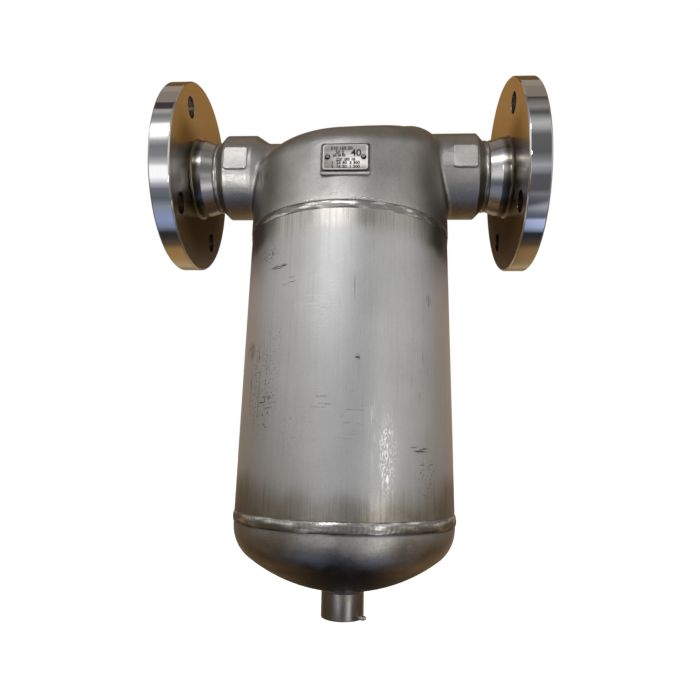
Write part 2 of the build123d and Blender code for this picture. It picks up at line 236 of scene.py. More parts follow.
class Effect:
    """A look that several finishes share, kept as one node group."""

    name: ClassVar[str] = ""
    takes: ClassVar[dict[str, str]] = {}
    gives: ClassVar[dict[str, str]] = {}

    def wire(self, tree: Tree, taken: dict[str, Wire]) -> dict[str, Wire]:
        """Fills the group and gives what its outputs get, by name; each effect has its own."""
        raise NotImplementedError

    def group(self) -> bpy.types.NodeTree:
        """Builds the group once.

        Returns:
            The group, the same one each time.
        """
        found = bpy.data.node_groups.get(self.name)
        if found:
            return found
        group = bpy.data.node_groups.new(self.name, "ShaderNodeTree")
        for way, names in (("INPUT", self.takes), ("OUTPUT", self.gives)):
            for name, kind in names.items():
                group.interface.new_socket(name=name, in_out=way, socket_type=SOCKETS[kind])
        tree = Tree(group)
        start = tree.add("NodeGroupInput")
        given = self.wire(tree, {name: start.outputs[name] for name in self.takes})
        tree.add("NodeGroupOutput", given)
        return group

    def place(self, tree: Tree, **values: Wire) -> dict[str, Signal]:
        """Puts the effect into a finish, its inputs by name, and gives its outputs by name."""
        node = tree.add("ShaderNodeGroup", values, node_tree=self.group())
        return {name: node.outputs[name] for name in self.gives}


class Brushing(Effect):
    """Fine straight lines left by an abrasive belt."""

    name = "brushing"
    takes = {"place": "vector", "coarse": "vector", "fine": "vector"}
    gives = {"lines": "value", "height": "value"}

    def wire(self, tree: Tree, taken: dict[str, Wire]) -> dict[str, Wire]:
        """Adds a coarse and a fine stretched noise; see the base class."""
        coarse = tree.noise(tree.stretch(taken["place"], taken["coarse"]), 1.0, 2.0, 0.6)
        fine = tree.noise(tree.stretch(taken["place"], taken["fine"]), 1.0, 3.0, 0.7)
        lines = tree.sum("MULTIPLY_ADD", coarse, 0.5, tree.times(fine, 0.5))
        height = tree.sum("MULTIPLY_ADD", fine, 0.6, coarse)
        return {"lines": tree.fade(lines, 0.3, 0.7), "height": height}


class Blotches(Effect):
    """Soft irregular patches of dirt, tint or wear."""

    name = "blotches"
    takes = {"place": "vector", "scale": "value", "least": "value", "most": "value"}
    gives = {"mask": "value"}

    def wire(self, tree: Tree, taken: dict[str, Wire]) -> dict[str, Wire]:
        """Cuts a broken noise between two levels; see the base class."""
        noise = tree.noise(taken["place"], taken["scale"], 6.0, 0.62)
        return {"mask": tree.fade(noise, taken["least"], taken["most"])}


class Grain(Effect):
    """The skin of a blasted casting, with pits of two sizes."""

    name = "casting grain"
    takes = {"place": "vector", "scale": "value"}
    gives = {"height": "value", "pits": "value"}

    def wire(self, tree: Tree, taken: dict[str, Wire]) -> dict[str, Wire]:
        """Adds fine noise and rounded cells; see the base class."""
        fine = tree.noise(taken["place"], taken["scale"], 4.0, 0.7)
        half = tree.times(taken["scale"], 0.45)
        cells = tree.add("ShaderNodeTexVoronoi", {"Vector": taken["place"], "Scale": half})
        pits = tree.fade(cells.outputs["Distance"], 0.0, 0.42, 1.0, 0.0)
        height = tree.sum("SUBTRACT", fine, tree.times(pits, 0.5))
        return {"height": height, "pits": pits}


class SoftEdges(Effect):
    """Edges that catch the light, as rubbed and broken edges do."""

    name = "soft edges"
    takes = {"size": "value"}
    gives = {"mask": "value", "normal": "vector"}

    def wire(self, tree: Tree, taken: dict[str, Wire]) -> dict[str, Wire]:
        """Compares a rounded normal with the true one; see the base class."""
        bevel = tree.add("ShaderNodeBevel", {"Radius": taken["size"]}, samples=6)
        true = tree.add("ShaderNodeNewGeometry").outputs["Normal"]
        same = tree.vector("DOT_PRODUCT", bevel.outputs[0], true)
        return {"mask": tree.fade(same, 0.995, 0.86), "normal": bevel.outputs[0]}


class Turning(Effect):
    """Tool marks that run round the pipe's line."""

    name = "turning marks"
    takes = {"place": "vector", "pitch": "value"}
    gives = {"radius": "value", "rings": "value", "height": "value"}

    def wire(self, tree: Tree, taken: dict[str, Wire]) -> dict[str, Wire]:
        """Reads noise by the distance from the pipe's line; see the base class."""
        radius = tree.vector("LENGTH", tree.stretch(taken["place"], (0.0, 1.0, 1.0)))
        along = tree.parts(taken["place"])[0]
        step = tree.sum("DIVIDE", radius, taken["pitch"])
        pull = tree.times(along, 900.0)
        wander = tree.noise(taken["place"], 30.0, 2.0)
        line = tree.add("ShaderNodeCombineXYZ", {0: step, 1: pull, 2: wander}).outputs[0]
        rings = tree.noise(line, 1.0, 3.0, 0.6)
        groove = tree.sum("SINE", tree.times(step, FULL_TURN))
        height = tree.sum("MULTIPLY_ADD", groove, 0.35, rings)
        return {"radius": radius, "rings": tree.fade(rings, 0.32, 0.68), "height": height}


class Ripples(Effect):
    """The faint crescents and the smeared bright patches of a dressed weld bead."""

    name = "weld ripples"
    takes = {"along": "value", "across": "value", "place": "vector"}
    gives = {"height": "value", "crests": "value", "patches": "value"}

    def wire(self, tree: Tree, taken: dict[str, Wire]) -> dict[str, Wire]:
        """Bends a row of steps by the distance from the bead's middle; see the base class."""
        bow = tree.times(tree.times(taken["across"], taken["across"]), 0.55)
        wander = tree.times(tree.noise(taken["place"], 70.0, 2.0), 1.6)
        phase = tree.sum("ADD", tree.sum("ADD", taken["along"], bow), wander)
        step = tree.sum("FRACT", phase)
        crest = tree.fade(step, 0.0, 0.75, 0.0, 0.6)
        fall = tree.fade(step, 0.72, 1.0, 1.0, 0.0)
        wave = tree.times(crest, fall)
        slow = tree.times(taken["along"], 0.11)
        wide = tree.times(taken["across"], 0.65)
        run = tree.add("ShaderNodeCombineXYZ", {0: slow, 1: wide}).outputs[0]
        smear = tree.noise(run, 1.4, 2.0, 0.5)
        return {
            "height": tree.sum("MULTIPLY_ADD", smear, 3.5, wave),
            "crests": tree.sum("MULTIPLY_ADD", wave, 0.35, tree.fade(smear, 0.5, 0.66)),
            "patches": tree.fade(smear, 0.44, 0.64),
        }


class Strokes(Effect):
    """Sparse short marks, all one way."""

    name = "strokes"
    takes = {"place": "vector", "scale": "vector", "turn": "vector", "least": "value"}
    gives = {"mask": "value"}

    def wire(self, tree: Tree, taken: dict[str, Wire]) -> dict[str, Wire]:
        """Cuts the peaks off a turned and stretched noise; see the base class."""
        wires = {"Vector": taken["place"], "Rotation": taken["turn"], "Scale": taken["scale"]}
        turned = tree.add("ShaderNodeMapping", wires).outputs[0]
        over = tree.sum("SUBTRACT", tree.noise(turned, 1.0, 1.5), taken["least"])
        return {"mask": tree.times(over, 22.0, clamp=True)}


class Window(Effect):
    """A soft oval that keeps a mark to one place."""

    name = "window"
    takes = {"place": "vector", "centre": "vector", "reach": "vector"}
    gives = {"mask": "value"}

    def wire(self, tree: Tree, taken: dict[str, Wire]) -> dict[str, Wire]:
        """Fades with the distance from the oval's middle; see the base class."""
        away = tree.vector("SUBTRACT", taken["place"], taken["centre"])
        far = tree.vector("LENGTH", tree.vector("DIVIDE", away, taken["reach"]))
        return {"mask": tree.fade(far, 1.0, 0.45)}


# Finishes


@dataclass(frozen=True)
class Finish:
    """A metal finish; each kind paints its own nodes."""

    name: str
    slot: str
    colour: Colour
    roughness: float

    def paint(self, tree: Tree) -> Look:
        """Lays out the nodes and gives colour, roughness and normal; each finish has its own."""
        raise NotImplementedError

    def shades(self, tree: Tree, share: Wire, least: float, most: float) -> Signal:
        """Mixes a darker and a brighter tone of the finish's colour by the second one's share."""
        return tree.blend(share, tinted(self.colour, least), tinted(self.colour, most))

    def material(self) -> bpy.types.Material:
        """Makes the material once.

        Returns:
            The material, the same one each time.
        """
        found = bpy.data.materials.get(self.name)
        if found:
            return found
        made = bpy.data.materials.new(self.name)
        made.use_nodes = True
        tree = Tree(made.node_tree)
        shader = made.node_tree.nodes["Principled BSDF"]
        names = ("Metallic", "Base Color", "Roughness", "Normal")
        for name, value in zip(names, (1.0, *self.paint(tree))):
            tree.feed(shader.inputs[name], value)
        return made

    def dress(self, piece: Piece) -> None:
        """Gives the finish to a piece, or to a CAD node.

        Args:
            piece: The object that gets the material in all of its slots.
        """
        if not piece.material_slots:
            piece.data.materials.append(None)
        for slot in piece.material_slots:
            slot.material = self.material()


def blotched(tree: Tree, place: Wire, scale: float, least: float, most: float) -> Signal:
    """Gives the mask of blotches of one scale, cut between two levels."""
    return Blotches().place(tree, place=place, scale=scale, least=least, most=most)["mask"]


def tinted(colour: Colour, share: float) -> Colour:
    """Scales a colour's brightness."""
    return tuple(part * share for part in colour)


def bump(
    tree: Tree, height: Wire, depth: float, strength: float, normal: Wire | None = None
) -> Signal:
    """Adds relief.

    Args:
        tree: The material's tree.
        height: The relief, from 0 to 1.
        depth: How deep a step of 1 is, in metres.
        strength: How much of the relief shows.
        normal: A normal that the relief adds to.

    Returns:
        The normal with the relief.
    """
    wires = {"Height": height, "Distance": depth, "Strength": strength}
    if normal is not None:
        wires["Normal"] = normal
    return tree.add("ShaderNodeBump", wires).outputs[0]


class Way(Enum):
    """How the marks on the shell run, as the stretch of their noise."""

    ROUND = (70.0, 70.0, 1000.0)
    ALONG = (900.0, 900.0, 45.0)
    SPECKS = (760.0, 760.0, 620.0)
    SPARKLE = (1500.0, 1500.0, 480.0)
    STAIN = (160.0, 160.0, 120.0)


@dataclass(frozen=True)
class Mark:
    """One group of marks on the shell."""

    centre: Point
    reach: Point
    way: Way
    colour: Colour
    share: float
    least: float
    tilt: float = 0.0


@dataclass(frozen=True)
class SatinShell(Finish):
    """Cylinder with a frosted belt, bare brushed metal by its seams, light wear, a painted sheen
    and painted glints.
    """

    radius: float = 0.0826
    belt_top: float = -0.074
    belt_bottom: float = -0.2615
    bare: Colour = (0.51, 0.49, 0.455)
    tint: Colour = (0.30, 0.235, 0.17)
    # colour of the painted sheen laid on the belt at grazing angles
    grazing_sheen: Colour = (0.98, 0.90, 0.83)
    marks: tuple[Mark, ...] = (
        Mark((0.107, -0.068, -0.1065), (0.0085, 0.030, 0.0021), Way.ROUND, (0.03, 0.03, 0.03),
             0.95, 0.49, -0.22),
        Mark((0.099, -0.061, -0.0945), (0.012, 0.030, 0.009), Way.SPECKS, (0.08, 0.07, 0.06),
             0.8, 0.60),
        Mark((0.114, -0.071, -0.119), (0.010, 0.030, 0.0045), Way.ROUND, (0.05, 0.045, 0.04),
             0.85, 0.61, -0.12),
        Mark((0.101, -0.063, -0.160), (0.020, 0.030, 0.050), Way.SPECKS, (0.12, 0.11, 0.10),
             0.6, 0.68),
        Mark((0.098, -0.058, -0.197), (0.018, 0.030, 0.044), Way.SPECKS, (0.08, 0.07, 0.06),
             0.8, 0.625),
        Mark((0.094, -0.056, -0.190), (0.016, 0.030, 0.040), Way.ALONG, (0.12, 0.10, 0.08),
             0.45, 0.62),
        Mark((0.102, -0.062, -0.205), (0.008, 0.030, 0.006), Way.ROUND, (0.04, 0.035, 0.03),
             0.9, 0.57, 0.10),
        Mark((0.125, -0.076, -0.225), (0.020, 0.030, 0.020), Way.SPECKS, (0.16, 0.15, 0.14),
             0.6, 0.68),
        Mark((0.160, -0.081, -0.215), (0.014, 0.030, 0.022), Way.ROUND, (0.20, 0.19, 0.18),
             0.6, 0.66, 0.05),
        Mark((0.207, -0.064, -0.2346), (0.009, 0.030, 0.003), Way.ROUND, (0.05, 0.045, 0.04),
             0.9, 0.54, 0.04),
        Mark((0.213, -0.059, -0.2440), (0.006, 0.030, 0.004), Way.ROUND, (0.04, 0.035, 0.03),
             0.95, 0.54, 0.06),
        Mark((0.212, -0.060, -0.252), (0.012, 0.030, 0.018), Way.SPECKS, (0.12, 0.10, 0.09),
             0.7, 0.64),
        Mark((0.1660, -0.0820, -0.1755), (0.0022, 0.0200, 0.0032), Way.ROUND, (0.08, 0.07, 0.06),
             0.9, 0.45, 0.9),
        Mark((0.208, -0.062, -0.185), (0.010, 0.030, 0.030), Way.ALONG, (0.20, 0.18, 0.16),
             0.5, 0.66),
        Mark((0.1632, -0.0820, -0.1250), (0.0008, 0.0300, 0.0110), Way.ALONG, (0.34, 0.33, 0.32),
             0.5, 0.34),
        Mark((0.2165, -0.0540, -0.1285), (0.0022, 0.0300, 0.0060), Way.ALONG, (0.12, 0.11, 0.10),
             0.7, 0.52),
        Mark((0.086, -0.044, -0.166), (0.005, 0.020, 0.009), Way.STAIN, (0.34, 0.22, 0.10),
             0.45, 0.40),
        Mark((0.1400, -0.0810, -0.138), (0.016, 0.030, 0.026), Way.ROUND, (0.84, 0.84, 0.84),
             0.35, 0.58, -0.06),
        Mark((0.1420, -0.0810, -0.208), (0.013, 0.030, 0.014), Way.ROUND, (0.84, 0.84, 0.84),
             0.35, 0.58, -0.06),
        # painted highlight: fine bright scratches lit up as a glint
        Mark((0.1865, -0.0763, -0.238), (0.0075, 0.0300, 0.032), Way.SPARKLE, (0.95, 0.94, 0.92),
             0.7, 0.53),
        # painted highlight: a white spot at the foot of the glint
        Mark((0.1862, -0.0763, -0.2535), (0.0011, 0.0300, 0.0036), Way.STAIN, (1.0, 1.0, 1.0),
             1.0, 0.20),
        # painted highlight: a bright vertical streak beside the glint
        Mark((0.1760, -0.0790, -0.222), (0.0030, 0.0300, 0.032), Way.ALONG, (0.90, 0.90, 0.90),
             0.5, 0.55),
    )

    def mark(
        self, tree: Tree, place: Wire, colour: Wire, mark: Mark
    ) -> tuple[Signal, Signal]:
        """Adds one group of marks.

        Args:
            tree: The material's tree.
            place: The place on the object.
            colour: The colour so far.
            mark: The group of marks.

        Returns:
            The colour with the marks, and their mask.
        """
        window = Window().place(tree, place=place, centre=mark.centre, reach=mark.reach)
        strokes = Strokes().place(
            tree, place=place, scale=mark.way.value, turn=(0.0, mark.tilt, 0.0), least=mark.least
        )
        mask = tree.times(window["mask"], strokes["mask"])
        return tree.blend(tree.times(mask, mark.share), colour, mark.colour), mask

    def belt(self, tree: Tree, place: Wire) -> Signal:
        """Marks out the frosted belt, whose borders bend at the sides.

        Args:
            tree: The material's tree.
            place: The place on the object.

        Returns:
            The belt's mask.
        """
        across, _, level = tree.parts(place)
        side = tree.sum("ABSOLUTE", tree.sum("SUBTRACT", across, VESSEL_X))
        side = tree.sum("POWER", tree.sum("DIVIDE", side, self.radius), 3.0)
        ragged = tree.noise(tree.stretch(place, (1.0, 1.0, 0.35)), 55.0, 5.0, 0.6)
        ragged = tree.sum("MULTIPLY_ADD", ragged, 0.020, -0.010)
        high = tree.sum("ADD", tree.sum("MULTIPLY_ADD", side, 0.004, level), ragged)
        low = tree.sum("ADD", tree.sum("MULTIPLY_ADD", side, -0.012, level), ragged)
        top = tree.fade(high, self.belt_top, self.belt_top - 0.016)
        bottom = tree.fade(low, self.belt_bottom - 0.014, self.belt_bottom + 0.010)
        return tree.times(top, bottom)

    def paint(self, tree: Tree) -> Look:
        """Brushes the shell and adds its belt, stains, marks, a painted sheen and painted glints;
        see the base class.
        """
        place = tree.object_place()
        level = tree.parts(place)[2]
        lines = Brushing().place(
            tree, place=place, coarse=(520.0, 520.0, 12.0), fine=(2100.0, 2100.0, 60.0)
        )
        belt = self.belt(tree, place)
        clouds = blotched(tree, place, 15.0, 0.36, 0.70)
        frosted = self.shades(tree, clouds, 0.95, 1.06)
        seam = tree.fade(level, self.belt_bottom, self.belt_bottom - 0.020)
        broken = blotched(tree, place, 60.0, 0.34, 0.66)
        dirt = tree.times(seam, tree.sum("MULTIPLY_ADD", broken, 0.45, 0.25))
        bare = tree.blend(dirt, self.bare, self.tint)
        facing = tree.add("ShaderNodeLayerWeight", {"Blend": 0.5}).outputs["Facing"]
        bare_share = tree.fade(belt, 1.0, 0.0, 0.0, 0.28)
        speckle = tree.noise(tree.stretch(place, (1.0, 1.0, 0.6)), 1700.0, 3.0, 0.7)
        colour = tree.layers(
            tree.blend(belt, bare, frosted),
            (tree.fade(lines["lines"], 0.35, 0.0, 0.0, 0.13), (0.20, 0.19, 0.17)),
            (tree.fade(lines["lines"], 0.65, 1.0, 0.0, 0.12), (0.90, 0.90, 0.89)),
            # painted sheen: the belt lightens towards grazing angles of view
            (tree.times(belt, tree.fade(facing, 0.35, 0.85, 0.0, 0.85)), self.grazing_sheen),
            (tree.times(bare_share, tree.fade(lines["lines"], 0.55, 0.15)), (0.14, 0.12, 0.10)),
            (tree.fade(speckle, 0.44, 0.26, 0.0, 0.5), (0.38, 0.37, 0.35)),
            (tree.fade(speckle, 0.56, 0.74, 0.0, 0.5), (0.94, 0.94, 0.93)),
        )
        # mask of the lighter marks, wear and painted glints alike, which are made smoother
        wear_and_highlight = 0.0
        for mark in self.marks:
            colour, mask = self.mark(tree, place, colour, mark)
            if mark.colour[0] > self.colour[0]:
                wear_and_highlight = tree.sum("MAXIMUM", wear_and_highlight, mask)
        rough = tree.fade(belt, 0.0, 1.0, 0.36, self.roughness)
        rough = tree.sum("MULTIPLY_ADD", lines["lines"], -0.06, rough)
        rough = tree.sum("MULTIPLY_ADD", wear_and_highlight, -0.20, rough)
        normal = bump(tree, lines["height"], depth=0.00010, strength=0.25)
        return colour, rough, normal


@dataclass(frozen=True)
class BlastedCasting(Finish):
    """Fine blasted cast steel, rubbed bright along its edges, with a painted highlight band above
    its seam.
    """

    grain: float = 1500.0
    highlight_top: float = -0.0500
    highlight_end: float = -0.0640

    def gap_shadow(self, tree: Tree, place: Wire) -> Signal:
        """Marks the painted shadow in the narrow gap round the name plate.

        Args:
            tree: The material's tree.
            place: The place on the object.

        Returns:
            The painted shadow's mask.
        """
        low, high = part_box("name_plate")
        middle, half = (low + high) / 2.0, (high - low) / 2.0
        away = tree.vector("ABSOLUTE", tree.vector("SUBTRACT", place, tuple(middle)))
        across, _, above = tree.parts(away)
        gap = tree.sum(
            "MAXIMUM", tree.sum("SUBTRACT", across, half.x), tree.sum("SUBTRACT", above, half.z)
        )
        front = tree.fade(tree.parts(place)[1], high.y + 0.0006, high.y + 0.0003)
        return tree.times(tree.fade(gap, 0.0019, 0.0010, 0.0, 0.92), front)

    def paint(self, tree: Tree) -> Look:
        """Pits the skin, rubs the edges and paints a highlight above the seam; see the base class.
        """
        place = tree.object_place()
        level = tree.parts(place)[2]
        grain = Grain().place(tree, place=place, scale=self.grain)
        clouds = blotched(tree, place, 26.0, 0.34, 0.70)
        edges = SoftEdges().place(tree, size=0.0016)
        # painted highlight: a lighter band just above the seam, laid with the rubbed edges
        band = tree.fade(level, self.highlight_top, self.highlight_end, 0.0, 0.42)
        wear_and_highlight = tree.sum("MAXIMUM", band, tree.times(edges["mask"], 0.6))
        speckle = tree.noise(place, 1300.0, 3.0, 0.7)
        colour = tree.layers(
            self.shades(tree, clouds, 0.86, 1.12),
            (tree.times(grain["pits"], 0.35), tinted(self.colour, 0.62)),
            (wear_and_highlight, (0.74, 0.72, 0.69)),
            (tree.fade(speckle, 0.42, 0.24), tinted(self.colour, 0.5)),
            (tree.fade(speckle, 0.58, 0.76), RUBBED),
            # painted shadow in the narrow gap round the name plate
            (self.gap_shadow(tree, place), (0.05, 0.047, 0.042)),
        )
        soft = tree.noise(place, 120.0, 3.0)
        height = tree.sum("MULTIPLY_ADD", soft, 1.2, grain["height"])
        rough = tree.sum(
            "SUBTRACT", tree.fade(clouds, 0.0, 1.0, self.roughness + 0.05, self.roughness),
            tree.times(wear_and_highlight, 0.16),
        )
        normal = bump(tree, height, depth=0.00026, strength=0.7, normal=edges["normal"])
        return colour, rough, normal


@dataclass(frozen=True)
class TurnedFlange(Finish):
    """Flange with a polished rim and hub and finely turned faces."""

    rim_radius: float = 0.0812
    hub_radius: float = 0.0400

    def paint(self, tree: Tree) -> Look:
        """Polishes the rim and the hub, turns the faces and paints shade low by the hub; see the
        base class.
        """
        place = tree.object_place()
        marks = Turning().place(tree, place=place, pitch=0.0007)
        edges = SoftEdges().place(tree, size=0.0007)
        rim = tree.fade(marks["radius"], self.rim_radius - 0.0002, self.rim_radius)
        hub = tree.fade(marks["radius"], self.hub_radius + 0.0012, self.hub_radius - 0.0012)
        from_middle = tree.sum("ABSOLUTE", tree.sum("SUBTRACT", tree.parts(place)[0], VESSEL_X))
        hub = tree.times(hub, tree.fade(from_middle, 0.1315, 0.1265))
        polish = tree.sum("MAXIMUM", rim, tree.times(hub, 0.75))
        film = blotched(tree, place, 36.0, 0.38, 0.70)
        # painted shade: the face darker low down, near the hub's root
        root = tree.fade(marks["radius"], self.hub_radius + 0.042, self.hub_radius + 0.010)
        low = tree.fade(tree.parts(place)[2], 0.040, 0.014, 0.0, 0.86)
        colour = tree.layers(
            self.shades(tree, marks["rings"], 0.86, 1.05),
            (tree.times(film, 0.25), (0.50, 0.42, 0.34)),
            (tree.times(root, low), (0.13, 0.11, 0.075)),
            (tree.times(polish, 0.85), (0.83, 0.83, 0.84)),
        )
        rough = tree.fade(hub, 0.0, 1.0, self.roughness, 0.21)
        rough = tree.times(rough, tree.fade(rim, 0.0, 1.0, 1.0, 0.12))
        rough = tree.sum("MULTIPLY_ADD", film, 0.02, rough)
        relief = tree.fade(polish, 0.0, 1.0, 1.0, 0.10)
        height = tree.times(marks["height"], relief)
        normal = bump(tree, height, depth=0.00003, strength=0.3, normal=edges["normal"])
        return colour, rough, normal


@dataclass(frozen=True)
class WeldMetal(Finish):
    """Rippled bead with painted highlights on its crests and painted shade along its toe."""

    line: Line = Line.VESSEL
    level: float = 0.0
    radius: float = 0.0826
    width: float = 0.0058
    pitch: float = 0.0026
    # share of the painted shade along the bead's toe
    toe_shade: float = 0.6
    relief: float = 0.00015

    def paint(self, tree: Tree) -> Look:
        """Lays the ripples round the bead's own line; see the base class."""
        place = tree.object_place()
        along, depth, high = tree.parts(place)
        if self.line is Line.VESSEL:
            turn = tree.sum("ARCTAN2", depth, tree.sum("SUBTRACT", along, VESSEL_X))
            offset = tree.sum("SUBTRACT", high, self.level)
        else:
            turn = tree.sum("ARCTAN2", depth, high)
            offset = tree.sum("SUBTRACT", along, self.level)
        count = round(FULL_TURN * self.radius / self.pitch)
        steps = tree.times(turn, count / FULL_TURN)
        across = tree.sum("DIVIDE", offset, self.width / 2.0)
        bead = Ripples().place(tree, along=steps, across=across, place=place)
        lit = tree.times(bead["crests"], bead["patches"])
        edge = tree.times(across, -1.0) if self.line is Line.VESSEL else across
        border = tree.fade(edge, 0.62, 0.98)
        gaps = blotched(tree, place, 24.0, 0.38, 0.60)
        border = tree.times(border, gaps)
        colour = tree.layers(
            self.shades(tree, bead["patches"], 0.55, 1.0),
            # painted highlight on the ripple crests
            (tree.times(lit, 0.9, clamp=True), (0.96, 0.95, 0.92)),
            # painted shade along the bead's toe
            (tree.times(border, self.toe_shade), (0.07, 0.06, 0.05)),
        )
        rough = tree.fade(bead["patches"], 0.0, 1.0, self.roughness + 0.10, self.roughness)
        normal = bump(tree, bead["height"], depth=self.relief, strength=0.6)
        return colour, rough, normal


@dataclass(frozen=True)
class StainedDish(Finish):
    """Pressed dished end, satin with brown heat tint, and blue-black low down: partly heat tint,
    partly painted reflection.
    """

    top: float = -0.2843

    def paint(self, tree: Tree) -> Look:
        """Tints the dish by its level, paints it darker low down and under its seam, and mottles
        it; see the base class.
        """
        place = tree.object_place()
        level = tree.parts(place)[2]
        lines = Brushing().place(
            tree, place=place, coarse=(90.0, 90.0, 240.0), fine=(420.0, 420.0, 1300.0)
        )
        mottle = blotched(tree, place, 75.0, 0.36, 0.64)
        brown = tree.times(
            tree.fade(level, self.top - 0.004, self.top - 0.016, 0.25, 0.8),
            tree.sum("MULTIPLY_ADD", mottle, 0.55, 0.35),
        )
        # blue-black low down: partly heat tint, partly a painted dark reflection, lighter to the
        # right
        uneven = tree.sum("MULTIPLY_ADD", mottle, 0.004, level)
        dark = tree.fade(uneven, self.top - 0.007, self.top - 0.029, 0.0, 0.90)
        across = tree.parts(place)[0]
        dark = tree.times(dark, tree.fade(across, VESSEL_X + 0.012, VESSEL_X + 0.040, 1.0, 0.62))
        # painted shadow: a thin broken dark line just under the seam's bead
        gaps = blotched(tree, place, 14.0, 0.30, 0.56)
        line = tree.fade(level, self.top - 0.0046, self.top - 0.0030, 0.0, 0.80)
        speckle = tree.noise(place, 1100.0, 3.0, 0.7)
        colour = tree.layers(
            self.shades(tree, tree.times(lines["lines"], 0.5), 0.86, 1.1),
            (tree.times(brown, 0.6), (0.36, 0.30, 0.23)),
            # heat tint with painted dark reflection
            (dark, (0.045, 0.050, 0.062)),
            # painted shadow under the seam
            (tree.times(line, gaps), (0.05, 0.045, 0.05)),
            (tree.fade(speckle, 0.45, 0.25, 0.0, 0.7), (0.10, 0.09, 0.08)),
        )
        rough = tree.fade(mottle, 0.0, 1.0, self.roughness, self.roughness + 0.1)
        height = tree.sum("MULTIPLY_ADD", speckle, 1.5, lines["height"])
        normal = bump(tree, height, depth=0.00012, strength=0.45)
        return colour, rough, normal


@dataclass(frozen=True)
class Machined(Finish):
    """Plain machined or rolled steel with a light film of dirt."""

    lines: Point = (900.0, 900.0, 30.0)
    dirt: Colour = (0.26, 0.20, 0.15)
    dirt_share: float = 0.4

    def paint(self, tree: Tree) -> Look:
        """Draws tool lines and a dirt film; see the base class."""
        place = tree.object_place()
        coarse = tuple(part * 0.25 for part in self.lines)
        marks = Brushing().place(tree, place=place, coarse=coarse, fine=self.lines)
        film = blotched(tree, place, 48.0, 0.38, 0.68)
        edges = SoftEdges().place(tree, size=0.0005)
        colour = tree.layers(
            self.shades(tree, marks["lines"], 0.85, 1.12),
            (tree.times(film, self.dirt_share), self.dirt),
            (tree.times(edges["mask"], 0.5), RUBBED),
        )
        rough = tree.fade(film, 0.0, 1.0, self.roughness, self.roughness + 0.12)
        normal = bump(tree, marks["height"], depth=0.00008, strength=0.4, normal=edges["normal"])
        return colour, rough, normal


CAST = BlastedCasting("blasted casting", "cast_stainless", (0.47, 0.46, 0.44), 0.31)
FLANGE = TurnedFlange("turned flange", "turned_stainless", (0.58, 0.56, 0.52), 0.20)
SHELL = SatinShell("satin shell", "satin_stainless", (0.66, 0.66, 0.66), 0.50)
DISH = StainedDish("stained dish", "satin_stainless", (0.58, 0.575, 0.56), 0.34)
SOCKET = Machined("machined socket", "plain_stainless", (0.38, 0.37, 0.36), 0.28)
BURR = Machined("burr", "plain_stainless", (0.74, 0.73, 0.71), 0.5)
TUBE = Machined("drawn tube", "plain_stainless", (0.52, 0.51, 0.49), 0.34)
SHEET = Machined(
    "plain sheet", "plain_stainless", (0.50, 0.49, 0.47), 0.38, lines=(60.0, 900.0, 900.0)
)
PLATE = Machined(
    "plate face", "plate_stainless", (0.64, 0.62, 0.60), 0.42, lines=(24.0, 1400.0, 1400.0),
    dirt_share=0.15,
)
MARKS = Machined(
    "plate marks", "plate_stainless", (0.03, 0.028, 0.025), 0.6, dirt=(0.02, 0.02, 0.02)
)
RIVET = Machined("rivet head", "plate_stainless", (0.36, 0.38, 0.42), 0.34)


def fillet_metal(name: str, level: float, radius: float) -> WeldMetal:
    """Gives the finish of a small fillet weld round the vessel's line, by level and radius."""
    return WeldMetal(
        name, "weld_stainless", colour=(0.50, 0.47, 0.43), roughness=0.34, level=level,
        radius=radius, width=0.0040, pitch=0.0022,
    )


# Modelling by hand


def deselect() -> None:
    """Leaves edit mode and clears the selection."""
    if bpy.context.object and bpy.context.object.mode != "OBJECT":
        bpy.ops.object.mode_set(mode="OBJECT")
    bpy.ops.object.select_all(action="DESELECT")


def take(piece: Piece) -> None:
    """Selects one object alone and makes it active.

    Args:
        piece: The object that the next operators act on.
    """
    deselect()
    piece.select_set(True)
    bpy.context.view_layer.objects.active = piece


def apply_place(piece: Piece) -> None:
    """Moves a piece's place, turn and scale into its mesh."""
    take(piece)
    bpy.ops.object.transform_apply(location=True, rotation=True, scale=True)


def apply_modifier(piece: Piece, kind: str, **settings: object) -> None:
    """Adds a modifier and applies it.

    Args:
        piece: The piece that is finished by it.
        kind: Blender's name of the modifier's type.
        **settings: The modifier's own settings.
    """
    take(piece)
    bpy.ops.object.modifier_add(type=kind)
    modifier = piece.modifiers[-1]
    for name, value in settings.items():
        setattr(modifier, name, value)
    bpy.ops.object.modifier_apply(modifier=modifier.name)


def smooth(piece: Piece, angle: float) -> None:
    """Shades a piece smooth but for edges sharper than the angle, in degrees."""
    take(piece)
    bpy.ops.object.shade_smooth_by_angle(angle=math.radians(angle))


def edit_all(piece: Piece) -> None:
    """Enters edit mode with all of a piece's mesh selected.

    Args:
        piece: The piece.
    """
    take(piece)
    bpy.ops.object.mode_set(mode="EDIT")
    bpy.ops.mesh.select_all(action="SELECT")


def tidy_mesh(piece: Piece) -> None:
    """Merges doubled corners and turns all faces outwards.

    Args:
        piece: The piece.
    """
    edit_all(piece)
    bpy.ops.mesh.remove_doubles(threshold=MERGE_REACH)
    bpy.ops.mesh.normals_make_consistent(inside=False)
    bpy.ops.object.mode_set(mode="OBJECT")


def spin(piece: Piece, centre: Point, axis: Point, steps: int) -> None:
    """Turns a drawn section once round, merges its doubles and turns its faces outwards.

    Args:
        piece: The piece that holds the section.
        centre: A point on the line that it turns about.
        axis: The line's direction.
        steps: How many steps the full turn has.
    """
    edit_all(piece)
    bpy.ops.mesh.spin(steps=steps, angle=FULL_TURN, center=centre, axis=axis)
    bpy.ops.object.mode_set(mode="OBJECT")
    tidy_mesh(piece)


